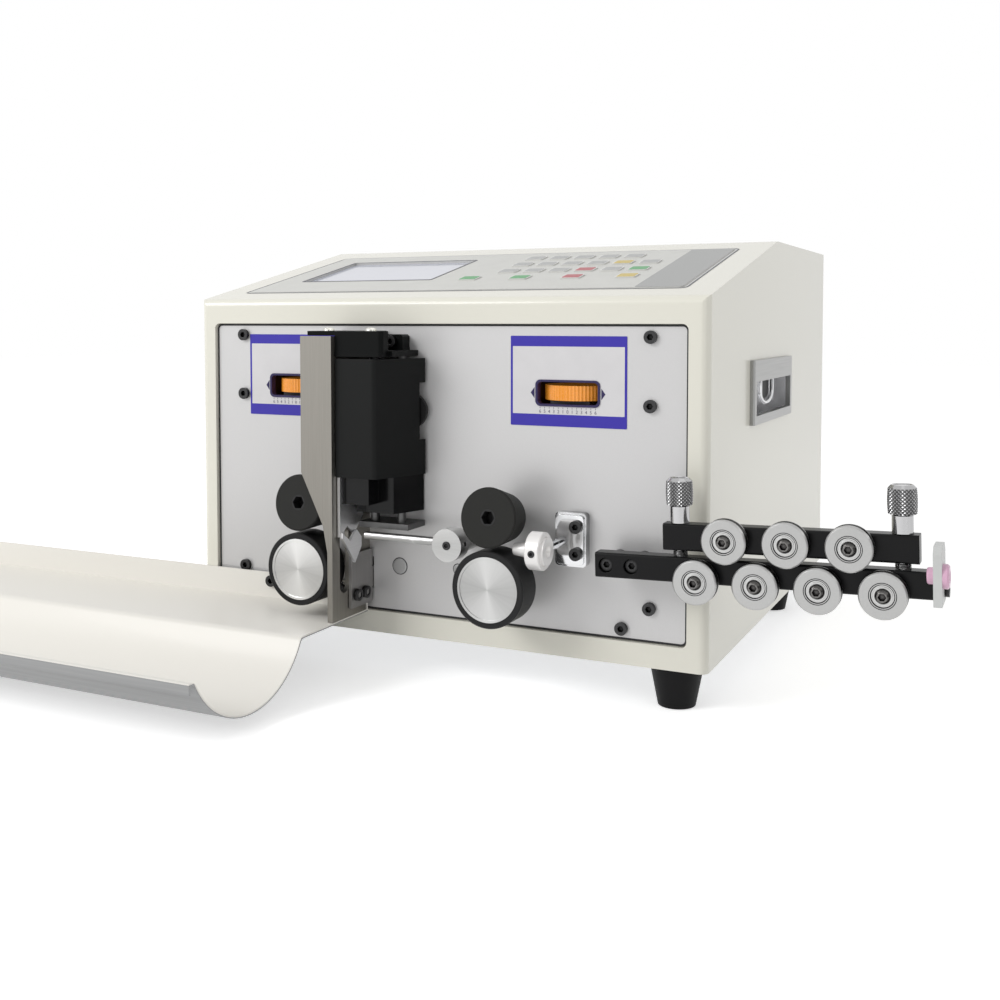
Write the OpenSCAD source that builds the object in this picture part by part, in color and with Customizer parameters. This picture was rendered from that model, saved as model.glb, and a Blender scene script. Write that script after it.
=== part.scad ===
// Benchtop wire cutting and stripping machine.
// Frame: +Z up, front towards -Y, wire runs along X. Origin on the floor, mid-way between the feet.
// Units are millimetres.

/* [Cabinet] */
// Outer width of the cabinet
cab_w = 400; // [380:2:460]
// Outer depth of the cabinet
cab_d = 400; // [360:2:460]
// Height of the front face above the cabinet's bottom edge
front_h = 240; // [236:1:280]
// Rise of the sloped top from the front edge to the ridge
ridge_rise = 46; // [36:1:60]
// Distance of the ridge behind the front face
ridge_back = 197; // [188:1:240]
// Thickness of the cabinet's sheet
wall = 2; // [1.5:0.5:3]
// Outer radius of the bent edges
edge_r = 6; // [4:0.5:9]
// Height of the rubber feet
foot_h = 28; // [22:1:36]
// Top diameter of a foot
foot_top_d = 36; // [30:1:42]
// Bottom diameter of a foot
foot_bottom_d = 25; // [20:1:30]
// Distance of a foot's axis from the cabinet's sides
foot_inset = 26; // [22:1:40]
// Distance of the front feet's axes behind the cabinet's front
foot_front = 22; // [20:1:40]
// Spacing of the front and the rear feet
foot_pitch = 286; // [240:2:330]
// Radius of the screw hole through a foot and the pan above it
foot_hole_r = 2.75; // [2.25:0.05:3.2]

/* [Front panel] */
// Width of the front frame beside the panel
frame_side = 13.5; // [12:0.5:16]
// Width of the front frame above the panel
frame_top = 17.5; // [14:0.5:20]
// Width of the front frame below the panel
frame_bottom = 15.5; // [14:0.5:18]
// Depth of the panel's face behind the frame's face
panel_recess = 3; // [2:0.5:5]
// Thickness of the panel
panel_t = 4; // [3:0.5:6]
// Width of the seat behind the panel's side edges
seat_w = 34; // [28:1:40]
// Width of the seat behind the panel's top edge
seat_top = 12; // [8:1:14]
// Width of the seat behind the panel's bottom edge
seat_low = 2; // [1:0.5:2]
// Distance of the outer panel screws from the opening's sides
screw_inset = 25.5; // [20:0.5:28]
// Height of the low side screws above the cabinet's bottom edge
screw_low = 38; // [34:0.5:42]
// Height of the middle side screws
screw_middle = 169.5; // [150:0.5:180]
// Height of the high side screws
screw_high = 214; // [206:0.5:214]
// Head radius of the black socket screws
screw_head_r = 4.3; // [3.5:0.1:5]
// Head height of the black socket screws
screw_head_h = 2.6; // [2:0.1:4]
// Shank radius of the black socket screws
screw_r = 2; // [1.5:0.1:2.5]

/* [Control plate] */
// Width of the plate in the sloped top
plate_w = 356; // [340:1:364]
// Length of the plate along the slope
plate_l = 150; // [140:1:156]
// Distance of the plate from the front edge along the slope
plate_from = 25; // [20:1:28]
// Thickness of the plate below the sheet
plate_t = 2; // [1.5:0.5:3]
// Width of the display window
display_w = 116; // [100:1:124]
// Length of the display window along the slope
display_l = 80; // [70:1:90]
// Distance of the window's left edge from the plate's left edge
display_left = 28; // [20:1:36]
// Distance of the window from the plate's front edge
display_from = 42; // [32:1:50]
// Width of a key pad
key_w = 15; // [12:0.5:17]
// Length of a key pad along the slope
key_l = 13; // [10:0.5:16]
// Spacing of the key columns
key_pitch_x = 20.7; // [19:0.1:22]
// Spacing of the key rows
key_pitch_y = 26.5; // [22:0.5:28]
// Thickness of the key film
film_t = 0.5; // [0.3:0.1:0.8]
// Height of a key pad above the film
key_h = 0.7; // [0.4:0.1:1.2]

/* [Pull handles] */
// Length of the handle's rim
handle_l = 131; // [110:1:150]
// Height of the handle's rim
handle_h = 46.5; // [40:0.5:56]
// Distance of the handle's middle in front of the cabinet's middle
handle_y = -24.5; // [-50:0.5:40]
// Height of the handle's middle above the cabinet's bottom edge
handle_z = 173; // [150:1:190]
// Depth of the handle's pan
handle_depth = 15; // [12:1:20]
// Wall of the handle's pan
handle_t = 1.5; // [1:0.1:2]
// Height of the handle's rim above the cabinet's side
handle_proud = 3.5; // [2:0.5:5]
// Height of the rim's plain face above the mouth
handle_brow = 15.5; // [12:0.5:18]

/* [Collecting tray] */
// Length of the tray along the wire
tray_l = 399.4; // [340:0.2:460]
// Sheet thickness of the tray
tray_t = 1.5; // [1:0.1:2]
// Height of the tray's ledge above the floor
tray_ledge_z = 44; // [43:0.5:46]
// Radius of the trough
trough_r = 58; // [52:0.5:60]
// Distance of the trough's middle line in front of the cabinet's front
trough_out = 136.2; // [130:0.1:140]
// Height of the trough's centre line above the floor
trough_z = 68.3; // [65:0.1:72]
// Flat width of the front lip
tray_lip = 1.7; // [1:0.1:8]
// Height of the hem on the front lip
tray_hem = 7; // [4:0.5:10]
// Inner radius of the bends at the trough's mouth
tray_bend = 4; // [2:0.5:6]
// Height of the flange that is bolted to the panel
tray_flange = 19; // [16:0.5:21]

/* [Wire line] */
// Distance of the wire in front of the panel
wire_out = 34; // [33:0.5:38]
// Height of the wire above the cabinet's bottom edge
wire_h = 76.5; // [76:0.5:82]
// Gap between a pair of feed rollers
nip_gap = 2; // [1:0.2:4]

/* [Feed rollers] */
// Place of the right pair along the wire
right_roller_x = 65.5; // [64:0.5:72]
// Place of the left pair along the wire
left_roller_x = -82.3; // [-90:0.1:-82.3]
// Outer radius of a driven roller
drive_r = 25.5; // [23:0.1:25.5]
// Thickness of the rubber tyre
tyre_t = 4; // [3:0.5:6]
// Width of a driven roller
roller_w = 22; // [18:0.5:22]
// Front radius of a press roller
press_r = 19.8; // [17:0.1:19.8]
// Slope of a press roller's axle, which is also its taper
press_tilt = 8; // [6:0.5:9]
// Length of a press roller along its axle
press_l = 24; // [20:0.5:26]
// Distance of a press roller's face behind the driven roller's face
press_setback = 1.5; // [1:0.1:3]
// Radius of a drive shaft
shaft_r = 5; // [4:0.1:6]
// Outer radius of a shaft bearing's sleeve
sleeve_r = 10; // [9:0.5:11]
// Length of the cone behind a press roller
press_tail_l = 14; // [8:0.5:14]
// Rear radius of that cone
press_tail_r = 7.5; // [6.5:0.1:10]
// Radius of a press roller's bore
press_bore_r = 5.4; // [5.2:0.1:6]
// Radius of a press axle behind its roller
axle_r = 4; // [3:0.1:4.5]
// Size across corners of an axle's hex socket
hex_socket_d = 9.4; // [7:0.2:10]
// Side of a square stepping motor
motor_side = 42; // [38:1:42]
// Length of a feed motor
feed_motor_l = 58; // [40:1:60]

/* [Roller gap] */
// Distance of an arm's pivot behind the panel
pivot_back = 73; // [68:1:90]
// Half the side of an arm's square bar
arm_half = 8; // [7:0.5:9]
// Radius of a pivot pin
pivot_r = 4; // [3:0.5:5]
// Thickness of a pivot cheek
cheek_t = 3; // [2:0.5:4]
// Place of the right gap wheel along the wire
right_gap_x = 103.5; // [100:0.5:108]
// Place of the left gap wheel along the wire
left_gap_x = -114.1; // [-120:0.1:-112]
// Height of the gap wheels above the cabinet's bottom edge
gap_wheel_z = 176.3; // [172:0.1:184]
// Radius of a gap wheel
gap_wheel_r = 23.5; // [20:0.5:25]
// Height of a gap wheel
gap_wheel_h = 10; // [8:0.5:12]
// Distance of a gap wheel's rim in front of the panel
gap_wheel_proud = 1.5; // [0.5:0.1:2.5]
// Width of the window in front of a gap wheel
window_w = 43.6; // [40:0.2:48]
// Height of that window
window_h = 15.5; // [14:0.5:18]
// Radius of a gap wheel's spindle
spindle_r = 3; // [2.5:0.1:3.5]
// Finger grooves round a gap wheel
gap_wheel_grooves = 60; // [40:1:80]

/* [Cutter] */
// Place of the side plate's right face along the wire
side_plate_x = -50.6; // [-51:0.1:-50]
// Thickness of the side plate's web
web_t = 3; // [2:0.5:3]
// Thickness of the side plate's front flange
flange_t = 2.5; // [2:0.5:3]
// Width of the front flange at its top
flange_w = 25.2; // [22:0.2:30]
// Width of the front flange at its foot
flange_foot_w = 4; // [3.5:0.5:8]
// Distance of the side plate's front in front of the panel
side_plate_out = 49; // [48.5:0.5:52]
// Height of the side plate's top above the cabinet's bottom edge
side_plate_top = 214; // [206:1:220]
// Thickness of a blade
blade_t = 2; // [1.5:0.1:2.2]
// Half the opening between the blades at rest
blade_open = 5; // [4.5:0.5:5.5]
// Half the width of a blade's notch
notch_half = 9; // [7:0.5:9]
// Stroke of a blade
blade_stroke = 6; // [5:0.5:6]
// Radius of a guide rod
rod_r = 3; // [2.5:0.1:4]
// Place of the left guide rod along the wire
rod_left_x = -36.5; // [-37:0.1:-36]
// Place of the right guide rod along the wire
rod_right_x = -15; // [-16:0.1:-14.8]
// Distance of the guide rods in front of the panel
rod_out = 15; // [13:0.5:18]
// Radius of the lead screw
lead_screw_r = 4; // [3:0.5:5]
// Place of the lead screw along the wire
lead_screw_x = -25; // [-26:0.5:-24]
// Distance of the lead screw behind the panel
lead_screw_back = 25; // [24:0.5:28]
// Length of the cutter motor
cutter_motor_l = 48; // [36:1:48]
// Width of the blade cover's front
cover_front_w = 31.1; // [30:0.1:33]
// Width of the blade cover at the panel
cover_rear_w = 46.6; // [44:0.1:48]
// Height of the blade cover
cover_h = 81.5; // [76:0.5:82]
// Wall of the blade cover
cover_wall = 2; // [1.5:0.5:2.5]
// Radius of the knob behind the cover's notch
knob_r = 12; // [10:0.5:12.5]
// Height of the knob above the cabinet's bottom edge
knob_h = 161.5; // [156:0.5:166]
// Height of the cutter head's underside above the cabinet's bottom edge
head_h = 200; // [196:0.5:203]
// Depth of the cutter head's front block
head_front_d = 9; // [7:0.5:12]

/* [Conduit and inlet] */
// Place of the conduit's pivot along the wire
conduit_x = 33.3; // [32:0.1:33.5]
// Radius of the conduit's disc
conduit_disc_r = 11; // [9:0.5:11]
// Thickness of the conduit's disc
conduit_disc_t = 12; // [10:0.5:14]
// Outer radius of the conduit's tube
tube_r = 2.8; // [2:0.1:3.2]
// Wire bore of the tube, the disc and the inlet guide
wire_bore_r = 1.6; // [1:0.1:1.8]
// Length of the tube from the pivot
tube_l = 66; // [60:0.5:68]
// Radius of the conduit's stem
stem_r = 5; // [4:0.5:6]
// Place of the inlet guide's outer end along the wire
inlet_x = 104; // [102:0.5:108]
// Length of the inlet guide
inlet_l = 23.4; // [18:0.2:23.4]
// Radius of the inlet guide's body
inlet_r = 12.4; // [10:0.1:12.6]
// Radius of the inlet guide's outer rim
inlet_flange_r = 9.2; // [8:0.1:9.8]
// Width of the inlet block
block_w = 22; // [20:0.5:26]
// Height of the inlet block
block_h = 36; // [30:1:40]
// Radius of the post between the block and the guide
post_r = 3; // [2.5:0.1:3.5]
// Depth of the inlet block
block_d = 8; // [6:0.5:10]

/* [Straightener] */
// Slope of the straightener towards the feed rollers
straight_tilt = 1.6; // [0:0.1:2]
// Radius of a straightening roller
straight_r = 13.6; // [12:0.1:14]
// Width of a straightening roller
straight_w = 8; // [6:0.5:8]
// Depth of the wire groove
groove_depth = 1.4; // [1:0.1:2]
// Spacing of the rollers on a bar
straight_pitch = 36.3; // [34:0.1:40]
// Distance of the first lower roller from the inlet guide
straight_from = 96.6; // [92:0.1:100]
// Height of the roller axles above and below the wire
straight_offset = 12.8; // [12.6:0.1:13.4]
// Depth of both bars
bar_d = 12; // [10:0.5:13]
// Height of the lower bar
lower_bar_h = 15.8; // [14:0.2:17]
// Start of the lower bar from the inlet guide
lower_bar_from = 30; // [26:0.5:31]
// Length of the lower bar
lower_bar_l = 202.6; // [202.6:0.2:210]
// Height of the upper bar
upper_bar_h = 16.5; // [15:0.2:17]
// Start of the upper bar from the inlet guide
upper_bar_from = 75; // [70:0.5:76]
// Length of the upper bar
upper_bar_l = 149.6; // [148:0.2:152]
// Distance of the thumb screws from the upper bar's ends
thumb_inset = 9.4; // [8:0.2:10]
// Radius of a thumb screw's head
thumb_r = 8.5; // [7:0.5:9]
// Height of a thumb screw's head
thumb_h = 17; // [14:0.5:20]
// Radius of a thumb screw's collar
collar_r = 6; // [5:0.5:6.5]
// Length of a thumb screw's collar
collar_l = 11; // [8:0.5:14]
// Radius of a thumb screw's thread
thread_r = 3; // [2.5:0.1:3.5]
// Thickness of the end plate
end_plate_t = 4.7; // [4:0.1:6]
// Radius of the ceramic eyelet's outer rim
eyelet_r = 7; // [6:0.2:8]
// Radius of the eyelet's hole
eyelet_bore_r = 2.5; // [2:0.1:3]

/* [Inside and rear] */
// Width of the power supply
supply_w = 98; // [80:1:120]
// Length of the power supply
supply_l = 160; // [120:1:180]
// Height of the power supply
supply_h = 42; // [34:1:60]
// Width of the control board
board_w = 110; // [90:1:130]
// Length of the control board
board_l = 160; // [120:1:180]
// Width of a vent slot in the rear panel
vent_w = 3; // [2:0.5:4]
// Height of a vent slot
vent_h = 50; // [30:1:70]
// Height of the vents' middle above the cabinet's bottom edge
vent_mid_h = 190; // [120:1:220]
// Distance of the power inlet from the cabinet's side
socket_inset = 50; // [40:1:80]
// Number of vent slots in a row
vent_count = 14; // [8:1:18]

/* [Fits] */
// Radial clearance of a turning shaft
run_fit = 0.05; // [0.03:0.01:0.08]
// Gap between pieces that slide past each other
slide_gap = 0.4; // [0.3:0.1:0.5]
// Gap round an inset sheet piece
sheet_gap = 0.3; // [0.2:0.1:0.5]
// Visible gap round the front panel
panel_gap = 1; // [0.6:0.1:1.5]

/* [Hidden] */
$fn = 64;
eps = 0.01;

// Cabinet planes
front_y = -foot_pitch / 2 - foot_front;
back_y = front_y + cab_d;
mid_y = (front_y + back_y) / 2;
side_x = cab_w / 2;
base_z = foot_h;
front_top = base_z + front_h;
ridge_z = front_top + ridge_rise;
ridge_y = front_y + ridge_back;
slope_m = ridge_rise / ridge_back;
slope_deg = atan(slope_m);
slope_k = sqrt(1 + slope_m * slope_m);

// Pull handles
handle_rim = 3 * handle_t;
handle_low = base_z + handle_z - handle_h / 2;
handle_high = base_z + handle_z + handle_h / 2;

// Panel planes and opening
panel_y = front_y + panel_recess;
panel_back = panel_y + panel_t;
open_x = side_x - frame_side;
open_z0 = base_z + frame_bottom;
open_z1 = front_top - frame_top;
open_r = 4;

// Wire line
wire_y = panel_y - wire_out;
wire_z = base_z + wire_h;

// Feed rollers
drive_face = wire_y - roller_w / 2;
drive_back = wire_y + roller_w / 2;
drive_z = wire_z - nip_gap / 2 - drive_r;
core_r = drive_r - tyre_t;
press_face_y = drive_face + press_setback;
press_face_z = wire_z + nip_gap / 2 + press_r * cos(press_tilt);
press_rear_r = press_r - press_l * tan(press_tilt);
spigot_r = sleeve_r - 1;

// Roller gap
pivot_y = panel_back + pivot_back;
pivot_run = pivot_y - press_face_y;
pivot_z = press_face_z - pivot_run * tan(press_tilt);
wheel_y = panel_y + gap_wheel_r - gap_wheel_proud;
wheel_z = base_z + gap_wheel_z;
wheel_bottom = wheel_z - gap_wheel_h / 2;
shelf_t = 3;
ear_t = 5;
ear_half = 8;
ear_top = press_face_z - (wheel_y - press_face_y) * tan(press_tilt) + arm_half;
ear_bottom = ear_top - ear_t;
cheek_top = ear_bottom - 2.5;
cheek_bottom = drive_z + motor_side / 2 + 1;

// Cutter
plate_front = panel_y - side_plate_out;
plate_top = base_z + side_plate_top;
web_left = side_plate_x - web_t;
upper_blade_x = side_plate_x + slide_gap + 0.2;
lower_blade_x = upper_blade_x + blade_t + 0.3;
lower_plate_x = side_plate_x + slide_gap;
lower_plate_t = lower_blade_x - lower_plate_x;
stack_x = lower_blade_x + blade_t + 1;
rod_x = [rod_left_x, rod_right_x];
rod_y = panel_y - rod_out;
foot_plate_z = wire_z + tube_r + 0.6;
foot_plate_t = 4;
holder_bottom = foot_plate_z + foot_plate_t + blade_stroke + 1.2;
holder_h = 42;
head_bottom = base_z + head_h;
head_top = plate_top + 3.5;
head_right = -13;
cover_top = head_bottom - 1.5;
cover_left = side_plate_x + 1;
cover_front = panel_y - 45.5;
cover_rear = panel_y - 2.5;
cover_slant = (cover_rear_w - cover_front_w) / (cover_rear - cover_front);
knob_x = cover_left + cover_rear_w - knob_r + 2.5;
knob_z = base_z + knob_h;
knob_t = 3;
lead_screw_y = panel_y + lead_screw_back + panel_t;
lower_nut_z = base_z + 32;
nut_h = 15;
upper_nut_z = holder_bottom + 14;
frame_low_z = base_z + 18;
frame_high_z = head_bottom - 20;
tongue_w = 12;

// Conduit
conduit_z = wire_z - 1;
disc_front = wire_y - conduit_disc_t / 2;
disc_back = wire_y + conduit_disc_t / 2;

// Straightener, measured from the inlet guide's outer end along the sloping wire
bar_front = straight_w / 2 + 1;
bar_back = bar_front + bar_d;
lower_bar_top = 0.6;
upper_bar_bottom = straight_offset - upper_bar_h / 2;
upper_from = straight_from + straight_pitch / 2;
bolt_sink = 4.5;
lower_bolts = [lower_bar_from + 7, lower_bar_from + 23.6];
thumb_u = [upper_bar_from + thumb_inset, upper_bar_from + upper_bar_l - thumb_inset];
lower_count = 4;
upper_count = 3;
axle_screw_r = 4;
axle_head_r = 4.5;
panel_from_wire = wire_out;
lower_bar_end = lower_bar_from + lower_bar_l;

// A profile in the YZ plane, drawn along +X from x0
module along_x(x0, len) {
  translate([x0, 0, 0])
    rotate([90, 0, 90])
      linear_extrude(len)
        children();
}

// A profile in the XZ plane, drawn along +Y from y0
module along_y(y0, len) {
  translate([0, y0 + len, 0])
    rotate([90, 0, 0])
      linear_extrude(len)
        children();
}

// A rod along +X from a point
module rod_along_x(r, len) {
  rotate([0, 90, 0])
    cylinder(r = r, h = len);
}

// A rod along +Y from a point
module rod_along_y(r, len) {
  rotate([-90, 0, 0])
    cylinder(r = r, h = len);
}

// A rectangle with round corners, centred
module round_rect(w, h, r) {
  square([w - 2 * r, h], center = true);
  square([w, h - 2 * r], center = true);
  for (sx = [-1, 1], sy = [-1, 1])
    translate([sx * (w / 2 - r), sy * (h / 2 - r)])
      circle(r = r);
}

// A box given by its two corners
module span(low, high) {
  translate(low)
    cube(high - low);
}

// Points of the arc that rounds corner b between a and c
function corner_arc(a, b, c, r, n = 8) =
  let (
    u = (a - b) / norm(a - b),
    v = (c - b) / norm(c - b),
    half = acos(u * v) / 2,
    mid = (u + v) / norm(u + v),
    centre = b + mid * r / sin(half),
    from = b + u * r / tan(half) - centre,
    to = b + v * r / tan(half) - centre,
    a0 = atan2(from[1], from[0]),
    turn = atan2(to[1], to[0]) - a0,
    sweep = turn > 180 ? turn - 360 : turn < -180 ? turn + 360 : turn
  )
  [for (i = [0:n]) centre + r * [cos(a0 + sweep * i / n), sin(a0 + sweep * i / n)]];

// Side outline of the cabinet, moved inwards by t
module side_outline(t, r) {
  y0 = front_y + t;
  y1 = back_y - t;
  top = ridge_z - t;
  low_top = front_top + t * slope_m - t * slope_k;
  peak_y = y0 + (top - low_top) / slope_m;
  a = [y0, base_z];
  b = [y0, low_top];
  c = [peak_y, top];
  d = [y1, top];
  e = [y1, base_z];
  polygon(concat([a], corner_arc(a, b, c, r), corner_arc(b, c, d, r), [d, e]));
}

// Local frame of the sloped top: y along the slope, z out of it
module on_slope() {
  translate([0, front_y, front_top])
    rotate([slope_deg, 0, 0])
      children();
}

// Local frame of a press roller: y along its axle to the rear
module on_press_axle(x) {
  translate([x, press_face_y, press_face_z])
    rotate([-press_tilt, 0, 0])
      children();
}

// Local frame of the straightener: x along the wire, z up from it
module on_straightener() {
  translate([inlet_x, wire_y, wire_z])
    rotate([0, -straight_tilt, 0])
      children();
}

// Both sides of the cabinet
module both_sides() {
  children();
  mirror([1, 0, 0])
    children();
}

// Places of the panel's screws
module at_panel_screws() {
  screw_x = open_x - screw_inset;
  for (sx = [-1, 1], z = [screw_low, screw_middle, screw_high])
    translate([sx * screw_x, panel_y, base_z + z])
      children();
  translate([screw_x - 19, panel_y, base_z + 23])
    children();
}

// The cabinet

module cabinet_solid(t, r) {
  intersection() {
    along_x(-side_x + t, cab_w - 2 * t)
      side_outline(t, r);
    translate([0, mid_y, base_z])
      linear_extrude(front_h + ridge_rise)
        union() {
          round_rect(cab_w - 2 * t, cab_d - 2 * t, r);
          translate([-side_x + t, 0])
            square([cab_w - 2 * t, cab_d / 2 - t]);
        }
  }
}

module front_frame() {
  seat_y = panel_back;
  frame_z = (open_z0 + open_z1) / 2;
  frame_h = open_z1 - open_z0;
  difference() {
    along_y(front_y + wall / 2, seat_y - front_y + wall / 2)
      translate([0, frame_z])
        square([2 * open_x + 2 * wall, frame_h + 2 * wall], center = true);
    along_y(front_y, seat_y - front_y)
      translate([0, frame_z])
        round_rect(2 * open_x, frame_h, open_r);
    along_y(front_y, seat_y - front_y + 2 * wall)
      translate([0, frame_z + (seat_low - seat_top) / 2])
        round_rect(2 * (open_x - seat_w), frame_h - seat_low - seat_top, open_r);
    at_panel_screws()
      rod_along_y(screw_r + slide_gap / 2, panel_t + 3 * wall);
  }
}

module cabinet_shell() {
  frame_z = (open_z0 + open_z1) / 2;
  frame_h = open_z1 - open_z0;
  color([0.92, 0.91, 0.85])
    union() {
      difference() {
        cabinet_solid(0, edge_r);
        cabinet_solid(wall, edge_r - wall / 2);
        span(
          [-side_x + wall, front_y + wall, base_z - wall],
          [side_x - wall, back_y - wall, base_z + edge_r]
        );
        // Rear opening
        along_y(back_y - edge_r, 2 * edge_r)
          translate([0, (base_z + ridge_z - wall) / 2 - wall])
            square([cab_w - 2 * wall, ridge_z - base_z - wall + 2 * wall], center = true);
        // Front opening
        along_y(front_y - wall, 3 * wall)
          translate([0, frame_z])
            round_rect(2 * open_x, frame_h, open_r);
        // Opening of the control plate
        on_slope()
          translate([0, plate_from + plate_l / 2, -2 * wall])
            linear_extrude(4 * wall)
              round_rect(plate_w + 2 * sheet_gap, plate_l + 2 * sheet_gap, edge_r);
        // Openings of the pull handles
        both_sides()
          span(
            [side_x - 2 * wall, mid_y + handle_y - handle_l / 2 + handle_rim, handle_low + handle_rim],
            [side_x + wall, mid_y + handle_y + handle_l / 2 - handle_rim, handle_high - handle_rim]
          );
      }
      front_frame();
    }
}

module base_pan() {
  pan_x = side_x - wall - sheet_gap;
  y0 = front_y + wall + sheet_gap;
  y1 = back_y - wall - sheet_gap;
  rim = edge_r - sheet_gap;
  color([0.75, 0.75, 0.74])
    difference() {
      span([-pan_x, y0, base_z], [pan_x, y1, base_z + rim]);
      span([-pan_x + wall, y0 + wall, base_z + wall], [pan_x - wall, y1 - wall, base_z + 2 * rim]);
      at_feet()
        translate([0, 0, base_z - 1])
          cylinder(r = foot_hole_r, h = wall + 2);
    }
}

module rear_panel() {
  rear_x = side_x - wall - sheet_gap;
  vent_pitch = 2.4 * vent_w;
  color([0.92, 0.91, 0.85])
    difference() {
      span([-rear_x, back_y - wall, base_z], [rear_x, back_y, ridge_z - wall - sheet_gap]);
      for (row = [-1, 1], i = [0:vent_count - 1])
        along_y(back_y - 2 * wall, 4 * wall)
          translate([row * 85 + (i - (vent_count - 1) / 2) * vent_pitch, base_z + vent_mid_h])
            round_rect(vent_w, vent_h, vent_w / 2 - eps);
      along_y(back_y - 2 * wall, 4 * wall)
        translate([inlet_socket_x, inlet_socket_z])
          square([socket_w, socket_h], center = true);
    }
}

module front_panel() {
  panel_w = 2 * open_x - 2 * panel_gap;
  panel_h = open_z1 - open_z0 - 2 * panel_gap;
  slot_half = axle_r + slide_gap * 2;
  axle_panel_z = press_face_z - (panel_y + panel_t / 2 - press_face_y) * tan(press_tilt);
  color([0.78, 0.78, 0.78])
    difference() {
      along_y(panel_y, panel_t)
        translate([0, (open_z0 + open_z1) / 2])
          round_rect(panel_w, panel_h, open_r - panel_gap / 2);
      for (x = [left_roller_x, right_roller_x]) {
        translate([x, panel_y - panel_t, drive_z])
          rod_along_y(spigot_r + run_fit, 3 * panel_t);
        along_y(panel_y - panel_t, 3 * panel_t)
          translate([x, axle_panel_z + 1.5])
            round_rect(2 * slot_half, 2 * slot_half + 5, slot_half - eps);
      }
      for (x = [left_gap_x, right_gap_x])
        along_y(panel_y - panel_t, 3 * panel_t)
          translate([x, wheel_z])
            round_rect(window_w, window_h, 3);
      translate([conduit_x, panel_y - panel_t, conduit_z])
        rod_along_y(stem_r + run_fit, 3 * panel_t);
      translate([knob_x, panel_y - panel_t, knob_z])
        rod_along_y(screw_r + 1 + run_fit, 3 * panel_t);
      // Slots of the blade holders' tongues
      span(
        [lead_screw_x - tongue_w / 2 - slide_gap, panel_y - panel_t, upper_nut_z - blade_stroke - 1],
        [lead_screw_x + tongue_w / 2 + slide_gap, panel_y + 2 * panel_t, upper_nut_z + nut_h + 1]
      );
      span(
        [lower_plate_x - slide_gap, panel_y - panel_t, lower_nut_z - 1],
        [
          lower_plate_x + lower_plate_t + slide_gap,
          panel_y + 2 * panel_t,
          lower_nut_z + nut_h + blade_stroke + 1
        ]
      );
      at_panel_screws()
        translate([0, -panel_t, 0])
          rod_along_y(screw_r + slide_gap / 2, 3 * panel_t);
    }
}

// The control plate in the sloped top

display_x = -plate_w / 2 + display_left + display_w / 2;
display_y = plate_from + display_from + display_l / 2;

module control_plate() {
  overlap = 7;
  color([0.8, 0.8, 0.8])
    on_slope()
      difference() {
        union() {
          translate([0, plate_from + plate_l / 2, -wall])
            linear_extrude(wall)
              round_rect(plate_w, plate_l, edge_r - sheet_gap);
          translate([0, plate_from + plate_l / 2, -wall - plate_t])
            linear_extrude(plate_t)
              square([plate_w + 2 * overlap, plate_l + 2 * overlap], center = true);
        }
        translate([display_x, display_y, -2 * wall - plate_t])
          linear_extrude(4 * wall + plate_t)
            square([display_w, display_l], center = true);
      }
}

module display_module() {
  bezel = 6;
  glass_t = wall + plate_t - 1;
  body_t = 10;
  color([0.75, 0.76, 0.85])
    on_slope()
      union() {
        translate([display_x, display_y, -wall - plate_t])
          linear_extrude(glass_t)
            square([display_w - 2 * sheet_gap, display_l - 2 * sheet_gap], center = true);
        translate([display_x, display_y, -wall - plate_t - body_t])
          linear_extrude(body_t)
            square([display_w + 2 * bezel, display_l + 2 * bezel], center = true);
      }
}

// Column and row of each key pad: four columns of small keys and the coloured keys in front and right
key_places = [
  for (c = [0:3], r = [1:3]) [c + 1, r],
  [0, 0], [2, 0], [4, 0], [6, 0],
  [4, 1], [6, 1], [5, 1], [5, 2], [6, 2], [5, 3]
];
key_x0 = -1;
key_y0 = plate_from + 42.5;

module key_film() {
  margin = 3;
  color([0.7, 0.7, 0.71])
    on_slope()
      union() {
        difference() {
          translate([0, plate_from + plate_l / 2, 0])
            linear_extrude(film_t)
              round_rect(plate_w - 2 * margin, plate_l - 2 * margin, edge_r - margin + 1);
          translate([display_x, display_y, -wall])
            linear_extrude(3 * wall)
              square([display_w, display_l], center = true);
        }
        for (k = key_places)
          translate([key_x0 + k[0] * key_pitch_x, key_y0 + k[1] * key_pitch_y, film_t - eps])
            linear_extrude(key_h)
              round_rect(key_w, key_l, 1.5);
      }
}

// Feet and handles

// Places of the feet
module at_feet() {
  for (sx = [-1, 1], sy = [-1, 1])
    translate([sx * (side_x - foot_inset), sy * foot_pitch / 2, 0])
      children();
}

module rubber_feet() {
  color([0.06, 0.06, 0.06])
    at_feet()
      difference() {
        cylinder(d1 = foot_bottom_d, d2 = foot_top_d, h = foot_h);
        translate([0, 0, -1])
          cylinder(r = foot_hole_r, h = foot_h + 2);
      }
}

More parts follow.
